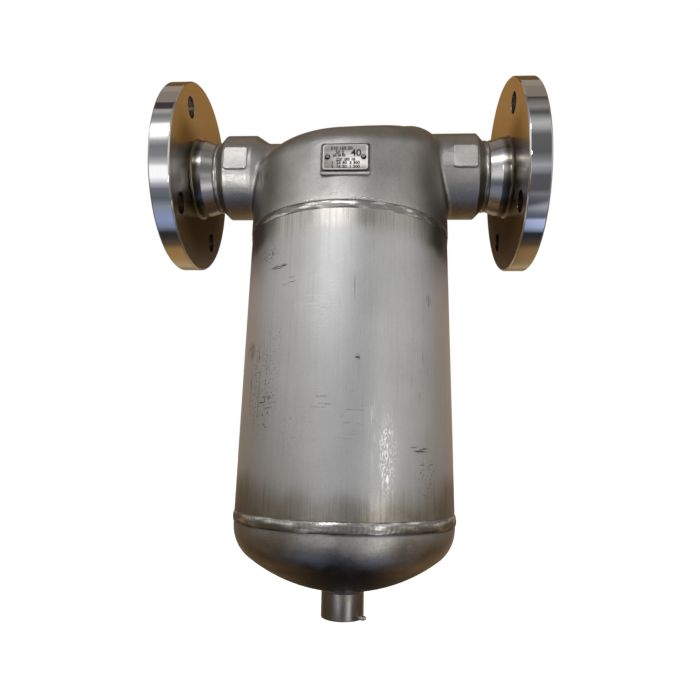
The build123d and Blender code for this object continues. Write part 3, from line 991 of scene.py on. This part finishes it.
def roughen(
    piece: Piece, name: str, size: float, strength: float, middle: float = 0.5
) -> None:
    """Shifts a piece's skin in and out by cloudy waves.

    Args:
        piece: The piece.
        name: The name of the waves' texture.
        size: How large the waves are, in metres.
        strength: How far they shift the skin from end to end, in metres.
        middle: The texture's value that shifts nothing.
    """
    texture = bpy.data.textures.new(name, type="CLOUDS")
    texture.noise_scale = size
    texture.noise_depth = 2
    apply_modifier(
        piece, "DISPLACE", texture=texture, texture_coords="LOCAL", strength=strength,
        mid_level=middle,
    )


def draw_outline(name: str, corners: list[Point], closed: bool) -> Piece:
    """Draws a line of edges, corner by corner.

    Args:
        name: The new piece's name.
        corners: The line's corners in the row frame, in metres.
        closed: Whether an edge joins the last corner to the first.

    Returns:
        The new piece, with edges and no faces.
    """
    deselect()
    bpy.ops.mesh.primitive_plane_add(size=0.002, location=corners[0])
    piece = bpy.context.object
    piece.name = name
    bpy.ops.object.mode_set(mode="EDIT")
    bpy.ops.mesh.select_mode(type="VERT")
    bpy.ops.mesh.select_all(action="SELECT")
    bpy.ops.mesh.merge(type="CENTER")
    for here, there in zip(corners, corners[1:]):
        step = Vector(there) - Vector(here)
        bpy.ops.mesh.extrude_region_move(TRANSFORM_OT_translate={"value": step})
    if closed:
        bpy.ops.mesh.select_all(action="DESELECT")
        bpy.ops.object.mode_set(mode="OBJECT")
        for number in (0, len(piece.data.vertices) - 1):
            piece.data.vertices[number].select = True
        bpy.ops.object.mode_set(mode="EDIT")
        bpy.ops.mesh.edge_face_add()
    bpy.ops.object.mode_set(mode="OBJECT")
    apply_place(piece)
    return piece


def spin_section(name: str, section: Section, line: Line, steps: int) -> Piece:
    """Turns a section about the pipe's or the vessel's line.

    Args:
        name: The new piece's name.
        section: A closed outline, as pairs of place along the line and distance from it.
        line: The line that the section turns about.
        steps: How many steps the full turn has.

    Returns:
        The turned piece.
    """
    if line is Line.VESSEL:
        corners = [(VESSEL_X, -out, along) for along, out in section]
        centre, axis = (VESSEL_X, 0.0, 0.0), (0.0, 0.0, 1.0)
    else:
        corners = [(along, -out, 0.0) for along, out in section]
        centre, axis = (0.0, 0.0, 0.0), (1.0, 0.0, 0.0)
    piece = draw_outline(name, corners, closed=True)
    spin(piece, centre, axis, steps)
    return piece


def settle(piece: Piece, finish: Finish, *nodes: str) -> Piece:
    """Dresses a finished piece, lets it ride, and lets it stand for CAD nodes.

    Args:
        piece: The finished piece, with its place in its mesh.
        finish: The finish that it gets.
        *nodes: The CAD nodes that it stands for.

    Returns:
        The piece.
    """
    finish.dress(piece)
    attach(piece, BODY)
    if nodes:
        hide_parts(*nodes)
    LOG.info("piece %s has %d corners", piece.name, len(piece.data.vertices))
    return piece


def dress_node(node: str, finish: Finish) -> None:
    """Gives a finish to a CAD node whose shape stays."""
    finish.dress(frame["nodes"][node])
    LOG.info("node %s is dressed as %s", node, finish.name)


# Sub-assemblies


@dataclass
class WeldBead:
    """A rippled bead that fills one round seam."""

    node: str
    line: Line
    level: float
    radius: float
    face: float
    crown: float
    depth: float = 0.0046
    root: float = 0.0020
    waves: float = 0.0006
    pitch: float = 0.0026
    # share of the painted shade along the bead's toe
    toe_shade: float = 0.4
    wave_size: float = 0.011
    lap: float = 0.0004
    sink: float = 0.0003
    crown_steps: int = 8
    step: float = 0.0013
    sharp: float = 50.0

    def section(self) -> Section:
        """Draws the bead's outline: a low crown over a narrowing root.

        Returns:
            Pairs of place along the line and distance from it, in metres.
        """
        half = self.face / 2.0 + self.lap
        low = self.radius - self.sink
        crown = []
        for number in range(self.crown_steps + 1):
            turn = math.pi * number / self.crown_steps
            along = self.level - half * math.cos(turn)
            crown.append((along, low + (self.crown + self.sink) * math.sin(turn)))
        foot = self.radius - self.depth
        root = [(self.level + self.root / 2.0, foot), (self.level - self.root / 2.0, foot)]
        return crown + root

    def build(self) -> Piece:
        """Spins the bead and makes its crown and its borders uneven.

        Returns:
            The finished bead.
        """
        steps = round(FULL_TURN * self.radius / self.step)
        piece = spin_section(f"{self.node}_bead", self.section(), self.line, steps)
        roughen(piece, f"{self.node} waves", self.wave_size, self.waves)
        smooth(piece, self.sharp)
        return piece

    def make(self) -> None:
        """Builds the bead and puts it in its node's place."""
        finish = WeldMetal(
            f"{self.node} metal", "weld_stainless", colour=(0.56, 0.54, 0.51), roughness=0.29,
            line=self.line, level=self.level, radius=self.radius, width=self.face, pitch=self.pitch,
            toe_shade=self.toe_shade,
        )
        settle(self.build(), finish, self.node)


@dataclass
class CastHead:
    """The cast head and the weld that joins it to the shell."""

    seam_level: float = -0.0633
    seam_radius: float = 0.0828

    def make(self) -> None:
        """Dresses the casting and lays its seam."""
        dress_node("head_casting", CAST)
        WeldBead(
            "head_seam_weld", Line.VESSEL, self.seam_level, self.seam_radius, face=0.0062,
            crown=0.0002, toe_shade=0.12, waves=0.0004, wave_size=0.018,
        ).make()


@dataclass
class FlangedPort:
    """One flange with the butt weld that joins it to the head's collar."""

    side: Side
    half_run: float = 0.155
    seam_from_middle: float = 0.1155
    neck_radius: float = 0.0302

    def make(self) -> None:
        """Dresses the flange and lays its weld."""
        name = self.side.name.lower()
        dress_node(f"{name}_flange", FLANGE)
        level = self.half_run + self.side.value * self.seam_from_middle
        WeldBead(
            f"{name}_flange_weld", Line.PIPE, level, self.neck_radius, face=0.0036, crown=0.0008,
            depth=0.0050, waves=0.0007, pitch=0.0024, wave_size=0.006,
        ).make()


@dataclass
class Vessel:
    """The cylinder, the dished end and the seam between them."""

    seam_level: float = -0.2833
    radius: float = 0.0826

    def make(self) -> None:
        """Dresses the shell and the dish and lays their seam."""
        dress_node("shell_pipe", SHELL)
        dress_node("bottom_cap", DISH)
        WeldBead(
            "cap_seam_weld", Line.VESSEL, self.seam_level, self.radius, face=0.0074, crown=0.0009,
            waves=0.0013, pitch=0.0034, toe_shade=0.95, wave_size=0.022,
        ).make()


@dataclass
class ThreadedDrain:
    """The drain socket with a cut thread, and the fillet weld that holds it."""

    end: float = -0.3526015
    top: float = -0.3285
    outside: float = 0.0157
    crest: float = 0.01205
    root: float = 0.0132
    passage: float = 0.0100
    thread_depth: float = 0.0160
    pitch: float = 0.001814
    chamfer: float = 0.0008
    mouth: float = 0.0003
    lead_in: float = 0.0009
    run_out: float = 0.0030
    thread_lap: float = 0.0002
    thread_steps: int = 48
    wall_steps: int = 96
    wall_sharp: float = 30.0
    burr_sharp: float = 60.0
    tooth_places: tuple[float, ...] = (0.0, 0.72, 1.28, 1.96)
    burr_from_end: Point = (0.0147, -0.0098, 0.0021)
    burr_radius: float = 0.0022
    burr_scale: Point = (1.60, 0.80, 0.86)
    burr_turn: float = -0.30
    weld_level: float = -0.3330
    weld_radius: float = 0.0170

    def section(self) -> Section:
        """Draws the socket's wall.

        Returns:
            Pairs of level and distance from the vessel's line, in metres.
        """
        floor = self.end + self.thread_depth
        return [
            (self.end, self.root + self.mouth),
            (self.end, self.outside - self.chamfer),
            (self.end + self.chamfer * 0.3, self.outside - self.chamfer * 0.3),
            (self.end + self.chamfer, self.outside),
            (self.top, self.outside),
            (self.top, self.passage),
            (floor, self.passage),
            (floor, self.root),
            (self.end + self.lead_in, self.root),
        ]

    def thread(self) -> Piece:
        """Cuts the thread as one ridge that winds up the bore.

        Returns:
            The ridge, which overlaps the bore's wall.
        """
        start = self.end + self.lead_in
        half = self.pitch / 2.0
        wall = self.root + self.thread_lap
        outs = (wall, self.crest, self.crest, wall)
        tooth = [
            (VESSEL_X, -out, start + half * place) for out, place in zip(outs, self.tooth_places)
        ]
        ridge = draw_outline("drain_thread_ridge", tooth, closed=True)
        take(ridge)
        bpy.context.scene.cursor.location = (VESSEL_X, 0.0, 0.0)
        bpy.ops.object.origin_set(type="ORIGIN_CURSOR")
        turns = int((self.thread_depth - self.run_out) / self.pitch)
        apply_modifier(
            ridge, "SCREW", steps=self.thread_steps, render_steps=self.thread_steps,
            angle=FULL_TURN * turns, screw_offset=self.pitch * turns, use_merge_vertices=True,
            merge_threshold=MERGE_REACH,
        )
        bpy.context.scene.cursor.location = (0.0, 0.0, 0.0)
        apply_place(ridge)
        tidy_mesh(ridge)
        smooth(ridge, SHARP)
        return ridge

    def burr(self) -> Piece:
        """Raises the chip of metal left on the socket's lower edge.

        Returns:
            The chip, drawn out to the right.
        """
        right, front, above = self.burr_from_end
        deselect()
        bpy.ops.mesh.primitive_uv_sphere_add(
            segments=16, ring_count=10, radius=self.burr_radius,
            location=(VESSEL_X + right, front, self.end + above),
        )
        chip = bpy.context.object
        chip.name = "drain_socket_burr"
        chip.rotation_euler = (0.0, 0.0, self.burr_turn)
        chip.scale = self.burr_scale
        apply_place(chip)
        roughen(chip, "burr lumps", size=0.0015, strength=0.0006, middle=0.8)
        smooth(chip, self.burr_sharp)
        return chip

    def make(self) -> None:
        """Builds the socket, its thread and its burr and lays the fillet weld."""
        wall = spin_section("drain_socket_wall", self.section(), Line.VESSEL, self.wall_steps)
        smooth(wall, self.wall_sharp)
        settle(wall, SOCKET, "drain_socket")
        settle(self.thread(), SOCKET)
        settle(self.burr(), BURR)
        metal = fillet_metal("drain weld metal", self.weld_level, self.weld_radius)
        dress_node("drain_socket_weld", metal)


@dataclass(frozen=True)
class PlateRow:
    """One row of plain numbers, placed from the plate's middle."""

    words: str
    across: float
    above: float
    size: float


@dataclass
class NamePlate:
    """The plate on the head's front pad, with its two rivets."""

    corner: float = 0.0022
    edge: float = 0.0003
    border: float = 0.0009
    groove: float = 0.00025
    groove_depth: float = 0.00018
    rounding: float = 0.00022
    number_relief: float = 0.00012
    number_sink: float = 0.00016
    rivet_inset: float = 0.0020
    rivet_hole: float = 0.0012
    rivet_dome: tuple[tuple[float, float], ...] = (
        (0.0010, 0.0012), (0.0010, 0.0020), (0.00055, 0.00192), (0.0002, 0.0016), (0.0, 0.00118),
        (0.0001, 0.00095), (0.0005, 0.00085), (0.0005, 0.00068), (0.0001, 0.00055), (0.00003, 0.0),
    )
    rivet_steps: int = 32
    rows: tuple[PlateRow, ...] = (
        PlateRow("310 165 50", -0.0030, 0.0060, 0.0036),
        PlateRow("50 2", -0.0042, 0.0026, 0.0036),
        PlateRow("40", 0.0078, 0.0008, 0.0078),
        PlateRow("20 24 85", -0.0046, 0.0004, 0.0026),
        PlateRow("220 285 18", 0.0002, -0.0030, 0.0031),
        PlateRow("1  25 40  3 300", 0.0002, -0.0058, 0.0034),
        PlateRow("2  16 20  1 200", 0.0002, -0.0090, 0.0034),
    )

    def box(self) -> tuple[Vector, Vector]:
        """Gives the plate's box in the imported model."""
        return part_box("name_plate")

    def plate(self) -> Piece:
        """Builds the plate with round corners and a stamped border.

        Returns:
            The finished plate.
        """
        low, high = self.box()
        deselect()
        bpy.ops.mesh.primitive_cube_add(size=1.0, location=(low + high) / 2.0)
        piece = bpy.context.object
        piece.name = "name_plate_face"
        piece.scale = high - low
        apply_place(piece)
        bpy.ops.object.mode_set(mode="EDIT")
        bpy.ops.mesh.select_mode(type="EDGE")
        bpy.ops.mesh.select_all(action="DESELECT")
        bpy.ops.object.mode_set(mode="OBJECT")
        points = piece.data.vertices
        for edge in piece.data.edges:
            run = points[edge.vertices[0]].co - points[edge.vertices[1]].co
            edge.select = abs(run.y) > 0.5 * run.length
        bpy.ops.object.mode_set(mode="EDIT")
        bpy.ops.mesh.bevel(offset=self.corner, segments=8)
        self.select_front(piece)
        for width, depth in (
            (self.edge, 0.0), (self.border, 0.0), (self.groove, -self.groove_depth)
        ):
            bpy.ops.mesh.inset(thickness=width, depth=depth)
        bpy.ops.object.mode_set(mode="OBJECT")
        tidy_mesh(piece)
        apply_modifier(
            piece, "BEVEL", width=self.rounding, segments=2, limit_method="ANGLE",
            angle_limit=math.radians(SHARP),
        )
        smooth(piece, SHARP)
        return piece

    def select_front(self, piece: Piece) -> None:
        """Selects the faces that look to the front.

        Args:
            piece: The plate, which stays in edit mode.
        """
        bpy.ops.mesh.select_mode(type="FACE")
        bpy.ops.mesh.select_all(action="DESELECT")
        bpy.ops.object.mode_set(mode="OBJECT")
        for face in piece.data.polygons:
            face.select = face.normal.y < -0.9
        bpy.ops.object.mode_set(mode="EDIT")

    def numbers(self) -> Piece:
        """Stamps rows of plain numbers on the plate.

        Returns:
            One mesh of all rows.
        """
        low, high = self.box()
        middle = (low + high) / 2.0
        rows = []
        for line in self.rows:
            deselect()
            bpy.ops.object.text_add(
                location=(middle.x + line.across, low.y + self.number_sink, middle.z + line.above),
                rotation=(math.pi / 2.0, 0.0, 0.0),
            )
            row = bpy.context.object
            row.data.body = line.words
            row.data.size = line.size
            row.data.extrude = row.data.offset = self.number_relief
            row.data.align_x = "CENTER"
            row.data.resolution_u = 3
            bpy.ops.object.convert(target="MESH")
            rows.append(bpy.context.object)
        deselect()
        for row in rows:
            row.select_set(True)
        bpy.context.view_layer.objects.active = rows[0]
        bpy.ops.object.join()
        piece = bpy.context.object
        piece.name = "name_plate_numbers"
        apply_place(piece)
        return piece

    def rivet(self, name: str, middle: Vector, front: float, back: float) -> Piece:
        """Builds one blind rivet with a domed ring and the stub in its middle.

        Args:
            name: The rivet's name.
            middle: The rivet's place on the plate.
            front: Where its dome ends, to the front.
            back: Where its shank ends, to the back.

        Returns:
            The finished rivet.
        """
        dome = [(front + along, out) for along, out in self.rivet_dome]
        section = [(back, 0.0), (back, self.rivet_hole), *dome]
        corners = [(middle.x + out, along, middle.z) for along, out in section]
        piece = draw_outline(name, corners, closed=False)
        spin(piece, (middle.x, 0.0, middle.z), (0.0, 1.0, 0.0), self.rivet_steps)
        smooth(piece, SHARP)
        return piece

    def make(self) -> None:
        """Builds the plate, its numbers and its rivets."""
        settle(self.plate(), PLATE, "name_plate")
        settle(self.numbers(), MARKS)
        low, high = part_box("name_plate_rivets")
        level = (low.z + high.z) / 2.0
        for name, across in (
            ("left", low.x + self.rivet_inset), ("right", high.x - self.rivet_inset)
        ):
            middle = Vector((across, 0.0, level))
            rivet = self.rivet(f"name_plate_rivet_{name}", middle, low.y, high.y)
            settle(rivet, RIVET, *(("name_plate_rivets",) if name == "left" else ()))
            rivet.data.materials.append(MARKS.material())
            for face in rivet.data.polygons:
                out = math.hypot(face.center.x - middle.x, face.center.z - middle.z)
                face.material_index = int(out > self.rivet_hole)


@dataclass
class Inside:
    """The pieces within the vessel, which stay as the solids have them."""

    tubes: tuple[str, ...] = ("centre_tube",)
    sheets: tuple[str, ...] = ("drain_baffle", "breaker_plate_lower", "breaker_plate_upper")
    castings: tuple[str, ...] = ("swirl_vanes",)
    welds: tuple[tuple[str, float], ...] = (("tube_seat_weld", -0.0635), ("vane_hub_weld", -0.1097))
    weld_radius: float = 0.0320

    def make(self) -> None:
        """Dresses each piece and the two fillet welds on the tube."""
        for names, finish in ((self.tubes, TUBE), (self.sheets, SHEET), (self.castings, CAST)):
            for name in names:
                dress_node(name, finish)
        for name, level in self.welds:
            dress_node(name, fillet_metal(f"{name} metal", level, self.weld_radius))


@dataclass
class Viewpoint:
    """The photograph's camera."""

    place: Point = (0.1785, -0.4596, -0.2412)
    yaw: float = -3.67
    pitch: float = 15.19
    roll: float = -1.34
    focal: float = 569.1
    centre: tuple[float, float] = (341.3, 303.8)
    frame_size: float = 700.0
    sensor: float = 36.0
    reach: tuple[float, float] = (0.01, 400.0)

    def turn(self) -> Matrix:
        """Works out how the camera is turned.

        Returns:
            A matrix whose columns are the camera's right, up and back.
        """
        yaw, pitch, roll = (math.radians(v) for v in (self.yaw, self.pitch, self.roll))
        ahead = Vector((
            math.sin(yaw) * math.cos(pitch), math.cos(yaw) * math.cos(pitch), math.sin(pitch)
        ))
        right = Vector((math.cos(yaw), -math.sin(yaw), 0.0))
        down = ahead.cross(right)
        right, down = (
            math.cos(roll) * right + math.sin(roll) * down,
            math.cos(roll) * down - math.sin(roll) * right,
        )
        return Matrix((right, -down, -ahead)).transposed()

    def make(self) -> None:
        """Adds the camera and makes it the scene's own."""
        data = bpy.data.cameras.new("photo camera")
        data.sensor_width = self.sensor
        data.lens = self.focal / self.frame_size * self.sensor
        data.shift_x = (self.frame_size / 2.0 - self.centre[0]) / self.frame_size
        data.shift_y = (self.centre[1] - self.frame_size / 2.0) / self.frame_size
        data.clip_start, data.clip_end = self.reach
        camera = bpy.data.objects.new("photo camera", data)
        bpy.context.scene.collection.objects.link(camera)
        camera.matrix_world = Matrix.Translation(self.place) @ self.turn().to_4x4()
        bpy.context.scene.camera = camera


@dataclass(frozen=True)
class Lamp:
    """A rectangular lamp, turned to the point that it aims at."""

    name: str
    place: Point
    size: tuple[float, float]
    power: float
    colour: Colour = (1.0, 1.0, 1.0)
    aim: Point = (VESSEL_X, 0.0, -0.12)
    spread: float = 180.0

    def make(self) -> None:
        """Adds the lamp and turns it to what it lights."""
        data = bpy.data.lights.new(self.name, "AREA")
        data.shape = "RECTANGLE"
        data.size, data.size_y = self.size
        data.energy = self.power
        data.color = self.colour
        data.spread = math.radians(self.spread)
        lamp = bpy.data.objects.new(self.name, data)
        bpy.context.scene.collection.objects.link(lamp)
        lamp.location = self.place
        ray = Vector(self.aim) - Vector(self.place)
        lamp.rotation_euler = ray.to_track_quat("-Z", "Y").to_euler()


@dataclass
class Studio:
    """The floor, the lamps and the world, which is white to the camera and a room to metal."""

    floor_level: float = -0.70
    floor_size: float = 300.0
    floor_lift: float = 0.35
    floor_tones: tuple[Colour, Colour] = ((0.92, 0.92, 0.92), (0.94, 0.94, 0.93))
    white: Colour = (1.0, 1.0, 1.0)
    ambient: Colour = (0.90, 0.90, 0.90)
    dusk_tone: Colour = (0.10, 0.08, 0.05)
    rear_tone: Colour = (0.13, 0.085, 0.045)
    wall_tone: Colour = (1.15, 1.15, 1.14)
    shade_tone: Colour = (0.012, 0.014, 0.018)
    window_tone: Colour = (1.6, 1.6, 1.58)
    window_turn: float = 0.66
    left: Stops = (
        (0.240, (0.03, 0.03, 0.03)), (0.260, (0.20, 0.24, 0.34)), (0.290, (0.28, 0.35, 0.58)),
        (0.335, (0.28, 0.30, 0.38)), (0.362, (0.12, 0.13, 0.16)), (0.393, (0.17, 0.18, 0.21)),
        (0.410, (0.50, 0.50, 0.55)), (0.430, (1.20, 1.20, 1.20)), (0.463, (1.20, 1.20, 1.20)),
        (0.475, (0.60, 0.60, 0.62)), (0.500, (0.26, 0.26, 0.27)), (0.530, (0.22, 0.22, 0.23)),
        (0.553, (0.45, 0.45, 0.46)), (0.573, (1.80, 1.80, 1.80)), (0.602, (1.80, 1.80, 1.80)),
        (0.615, (0.45, 0.45, 0.47)), (0.640, (0.20, 0.20, 0.20)), (0.655, (0.40, 0.40, 0.39)),
        (0.664, (0.40, 0.39, 0.38)), (0.672, (0.06, 0.05, 0.05)), (0.760, (0.06, 0.04, 0.03)),
    )
    right: Stops = (
        (0.240, (0.04, 0.05, 0.07)), (0.256, (0.45, 0.55, 0.80)), (0.285, (0.60, 0.65, 0.95)),
        (0.296, (0.13, 0.15, 0.21)), (0.322, (0.19, 0.20, 0.26)), (0.340, (0.08, 0.09, 0.12)),
        (0.372, (0.22, 0.22, 0.24)), (0.384, (0.10, 0.10, 0.11)), (0.430, (0.11, 0.11, 0.12)),
        (0.458, (0.42, 0.43, 0.46)), (0.480, (0.20, 0.20, 0.21)), (0.500, (0.12, 0.12, 0.12)),
        (0.555, (0.14, 0.14, 0.14)), (0.580, (0.44, 0.44, 0.45)), (0.594, (0.54, 0.52, 0.51)),
        (0.612, (0.34, 0.34, 0.33)), (0.632, (0.09, 0.09, 0.09)), (0.655, (0.28, 0.27, 0.26)),
        (0.675, (0.20, 0.19, 0.18)), (0.700, (0.04, 0.03, 0.03)), (0.760, (0.06, 0.04, 0.03)),
    )
    back: Stops = (
        (0.000, (0.22, 0.15, 0.08)), (0.050, (0.44, 0.31, 0.17)), (0.110, (0.36, 0.22, 0.09)),
        (0.165, (0.32, 0.18, 0.07)), (0.190, (0.10, 0.07, 0.04)), (0.225, (0.03, 0.03, 0.03)),
        (0.760, (0.13, 0.10, 0.08)), (0.850, (0.14, 0.08, 0.03)), (0.885, (0.40, 0.21, 0.06)),
        (0.910, (0.40, 0.21, 0.06)), (0.926, (0.06, 0.03, 0.01)), (0.948, (0.06, 0.03, 0.01)),
        (0.966, (0.50, 0.41, 0.30)), (1.000, (0.20, 0.13, 0.07)),
    )
    sides: Stops = (
        (0.00, (0.12, 0.075, 0.03)), (0.30, (0.10, 0.07, 0.04)), (0.42, (0.18, 0.15, 0.11)),
        (0.50, (0.50, 0.49, 0.47)), (0.60, (0.72, 0.72, 0.72)), (0.70, (0.76, 0.76, 0.75)),
        (0.80, (0.36, 0.35, 0.33)), (1.00, (0.12, 0.11, 0.10)),
    )
    lamps: tuple[Lamp, ...] = (
        Lamp("front window", (-0.25, -1.70, 0.92), (1.2, 0.20), power=4.5),
        Lamp(
            "ceiling panel", (0.155, -0.05, 1.30), (1.4, 0.90), power=0.82,
            colour=(1.0, 0.87, 0.72),
        ),
        Lamp(
            "left card", (-0.09, -0.53, -0.26), (0.10, 0.10), power=0.0088,
            aim=(0.050, -0.036, -0.004), spread=8.0,
        ),
        Lamp(
            "right card", (0.18, -0.51, -0.02), (0.07, 0.05), power=0.0020,
            aim=(0.292, -0.030, 0.0), spread=8.0,
        ),
    )

    def floor(self) -> None:
        """Lays a pale floor that keeps the shadow and looks white to the camera."""
        deselect()
        bpy.ops.mesh.primitive_plane_add(
            size=self.floor_size, location=(0.0, 0.0, self.floor_level)
        )
        piece = bpy.context.object
        piece.name = "studio_floor"
        apply_place(piece)
        piece.visible_glossy = False
        piece.visible_diffuse = False
        made = bpy.data.materials.new("studio floor")
        made.use_nodes = True
        tree = Tree(made.node_tree)
        nodes = made.node_tree.nodes
        nodes.remove(nodes["Principled BSDF"])
        speckle = tree.noise(tree.object_place(), 3.0, 4.0)
        pale = tree.blend(speckle, *self.floor_tones)
        matt = tree.add("ShaderNodeBsdfDiffuse", {"Color": pale}).outputs[0]
        path = tree.add("ShaderNodeLightPath").outputs
        lift = tree.times(path["Is Camera Ray"], self.floor_lift)
        glow = tree.add("ShaderNodeEmission", {"Color": self.white, "Strength": lift})
        both = tree.add("ShaderNodeAddShader", {0: matt, 1: glow.outputs[0]}).outputs[0]
        tree.feed(nodes["Material Output"].inputs["Surface"], both)
        piece.data.materials.append(made)

    def room(self, tree: Tree) -> Signal:
        """Paints the room that the metal mirrors, as strips round the pipe's line.

        Args:
            tree: The world's tree.

        Returns:
            The room's colour in the ray's direction.
        """
        ray = tree.add("ShaderNodeTexCoord").outputs["Generated"]
        across, depth, high = tree.parts(ray)
        turn = tree.sum("ARCTAN2", high, tree.times(depth, -1.0))
        turn = tree.sum("MULTIPLY_ADD", turn, 0.5 / math.pi, 0.5)
        uneven = tree.noise(ray, 10.0, 3.0)
        turn = tree.sum("MULTIPLY_ADD", uneven, 0.014, tree.sum("SUBTRACT", turn, 0.007))
        front = tree.blend(
            tree.fade(across, -0.05, 0.15), tree.ramp(turn, self.left), tree.ramp(turn, self.right)
        )
        below = tree.fade(turn, 0.232, 0.240)
        above = tree.fade(turn, 0.765, 0.755)
        strips = tree.blend(tree.times(below, above), tree.ramp(turn, self.back), front)
        reach = tree.sum("ABSOLUTE", across)
        height = tree.sum("MULTIPLY_ADD", high, 0.5, 0.5)
        dusk = tree.times(tree.fade(high, 0.30, 0.0), tree.fade(across, 0.1, -0.5))
        wall = tree.times(tree.fade(high, 0.12, 0.26), tree.fade(high, 0.52, 0.42))
        wall = tree.times(wall, tree.fade(across, -0.45, -0.75, 0.0, 0.45))
        wall = tree.times(wall, tree.fade(depth, 0.10, -0.20))
        sides = tree.layers(
            tree.ramp(height, self.sides),
            (tree.times(dusk, 0.66), self.dusk_tone),
            (tree.fade(depth, -0.15, 0.45, 0.0, 0.80), self.rear_tone),
            (wall, self.wall_tone),
        )
        deep = tree.times(tree.fade(reach, 0.30, 0.16), tree.fade(turn, 0.41, 0.34, 0.0, 0.88))
        middle = tree.times(tree.fade(reach, 0.26, 0.12), tree.fade(across, 0.16, 0.08))
        middle = tree.times(middle, tree.fade(turn, 0.498, 0.452, 0.0, 0.85))
        shade = tree.sum("MAXIMUM", deep, middle)
        shade = tree.times(shade, tree.fade(turn, 0.03, 0.08))
        aside = tree.sum("ARCTAN2", across, tree.times(depth, -1.0))
        aside = tree.sum("ABSOLUTE", tree.sum("SUBTRACT", aside, self.window_turn))
        window = tree.times(tree.fade(aside, 0.22, 0.09), tree.fade(high, 0.20, 0.02))
        window = tree.times(window, tree.fade(high, -0.92, -0.66))
        return tree.layers(
            strips, (tree.fade(reach, 0.36, 0.70), sides), (shade, self.shade_tone),
            (window, self.window_tone),
        )

    def surroundings(self) -> None:
        """Fills the world: white behind the object, but for glossy rays the room in its place."""
        world = bpy.data.worlds.new("studio")
        bpy.context.scene.world = world
        world.use_nodes = True
        tree = Tree(world.node_tree)
        path = tree.add("ShaderNodeLightPath").outputs
        behind = tree.sum("MAXIMUM", path["Is Camera Ray"], path["Is Glossy Ray"])
        behind = tree.sum("MAXIMUM", behind, path["Is Transmission Ray"])
        colour = tree.blend(behind, self.ambient, self.white)
        colour = tree.blend(path["Is Glossy Ray"], colour, self.room(tree))
        sky = world.node_tree.nodes["Background"]
        tree.feed(sky.inputs["Color"], colour)
        sky.inputs["Strength"].default_value = 1.0

    def make(self) -> None:
        """Lays the floor, fills the world and hangs the lamps."""
        self.floor()
        self.surroundings()
        for lamp in self.lamps:
            lamp.make()


def clear_start_objects() -> None:
    """Removes what a new Blender file holds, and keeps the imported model."""
    kept = set(frame["nodes"].values()) | set(frame["bodies"].values())
    for found in list(bpy.data.objects):
        if found not in kept:
            bpy.data.objects.remove(found)


def main() -> None:
    """Builds the sub-assemblies and the studio in order."""
    logging.basicConfig(level=logging.INFO, format="%(name)s: %(message)s")
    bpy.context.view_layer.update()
    clear_start_objects()
    bpy.context.scene.view_settings.view_transform = "Standard"
    steps = (
        CastHead(), FlangedPort(Side.INLET), FlangedPort(Side.OUTLET), Vessel(), ThreadedDrain(),
        NamePlate(), Inside(), Viewpoint(), Studio(),
    )
    for step in steps:
        step.make()
        LOG.info("%s is done", type(step).__name__)
    deselect()


if __name__ == "__main__":
    main()
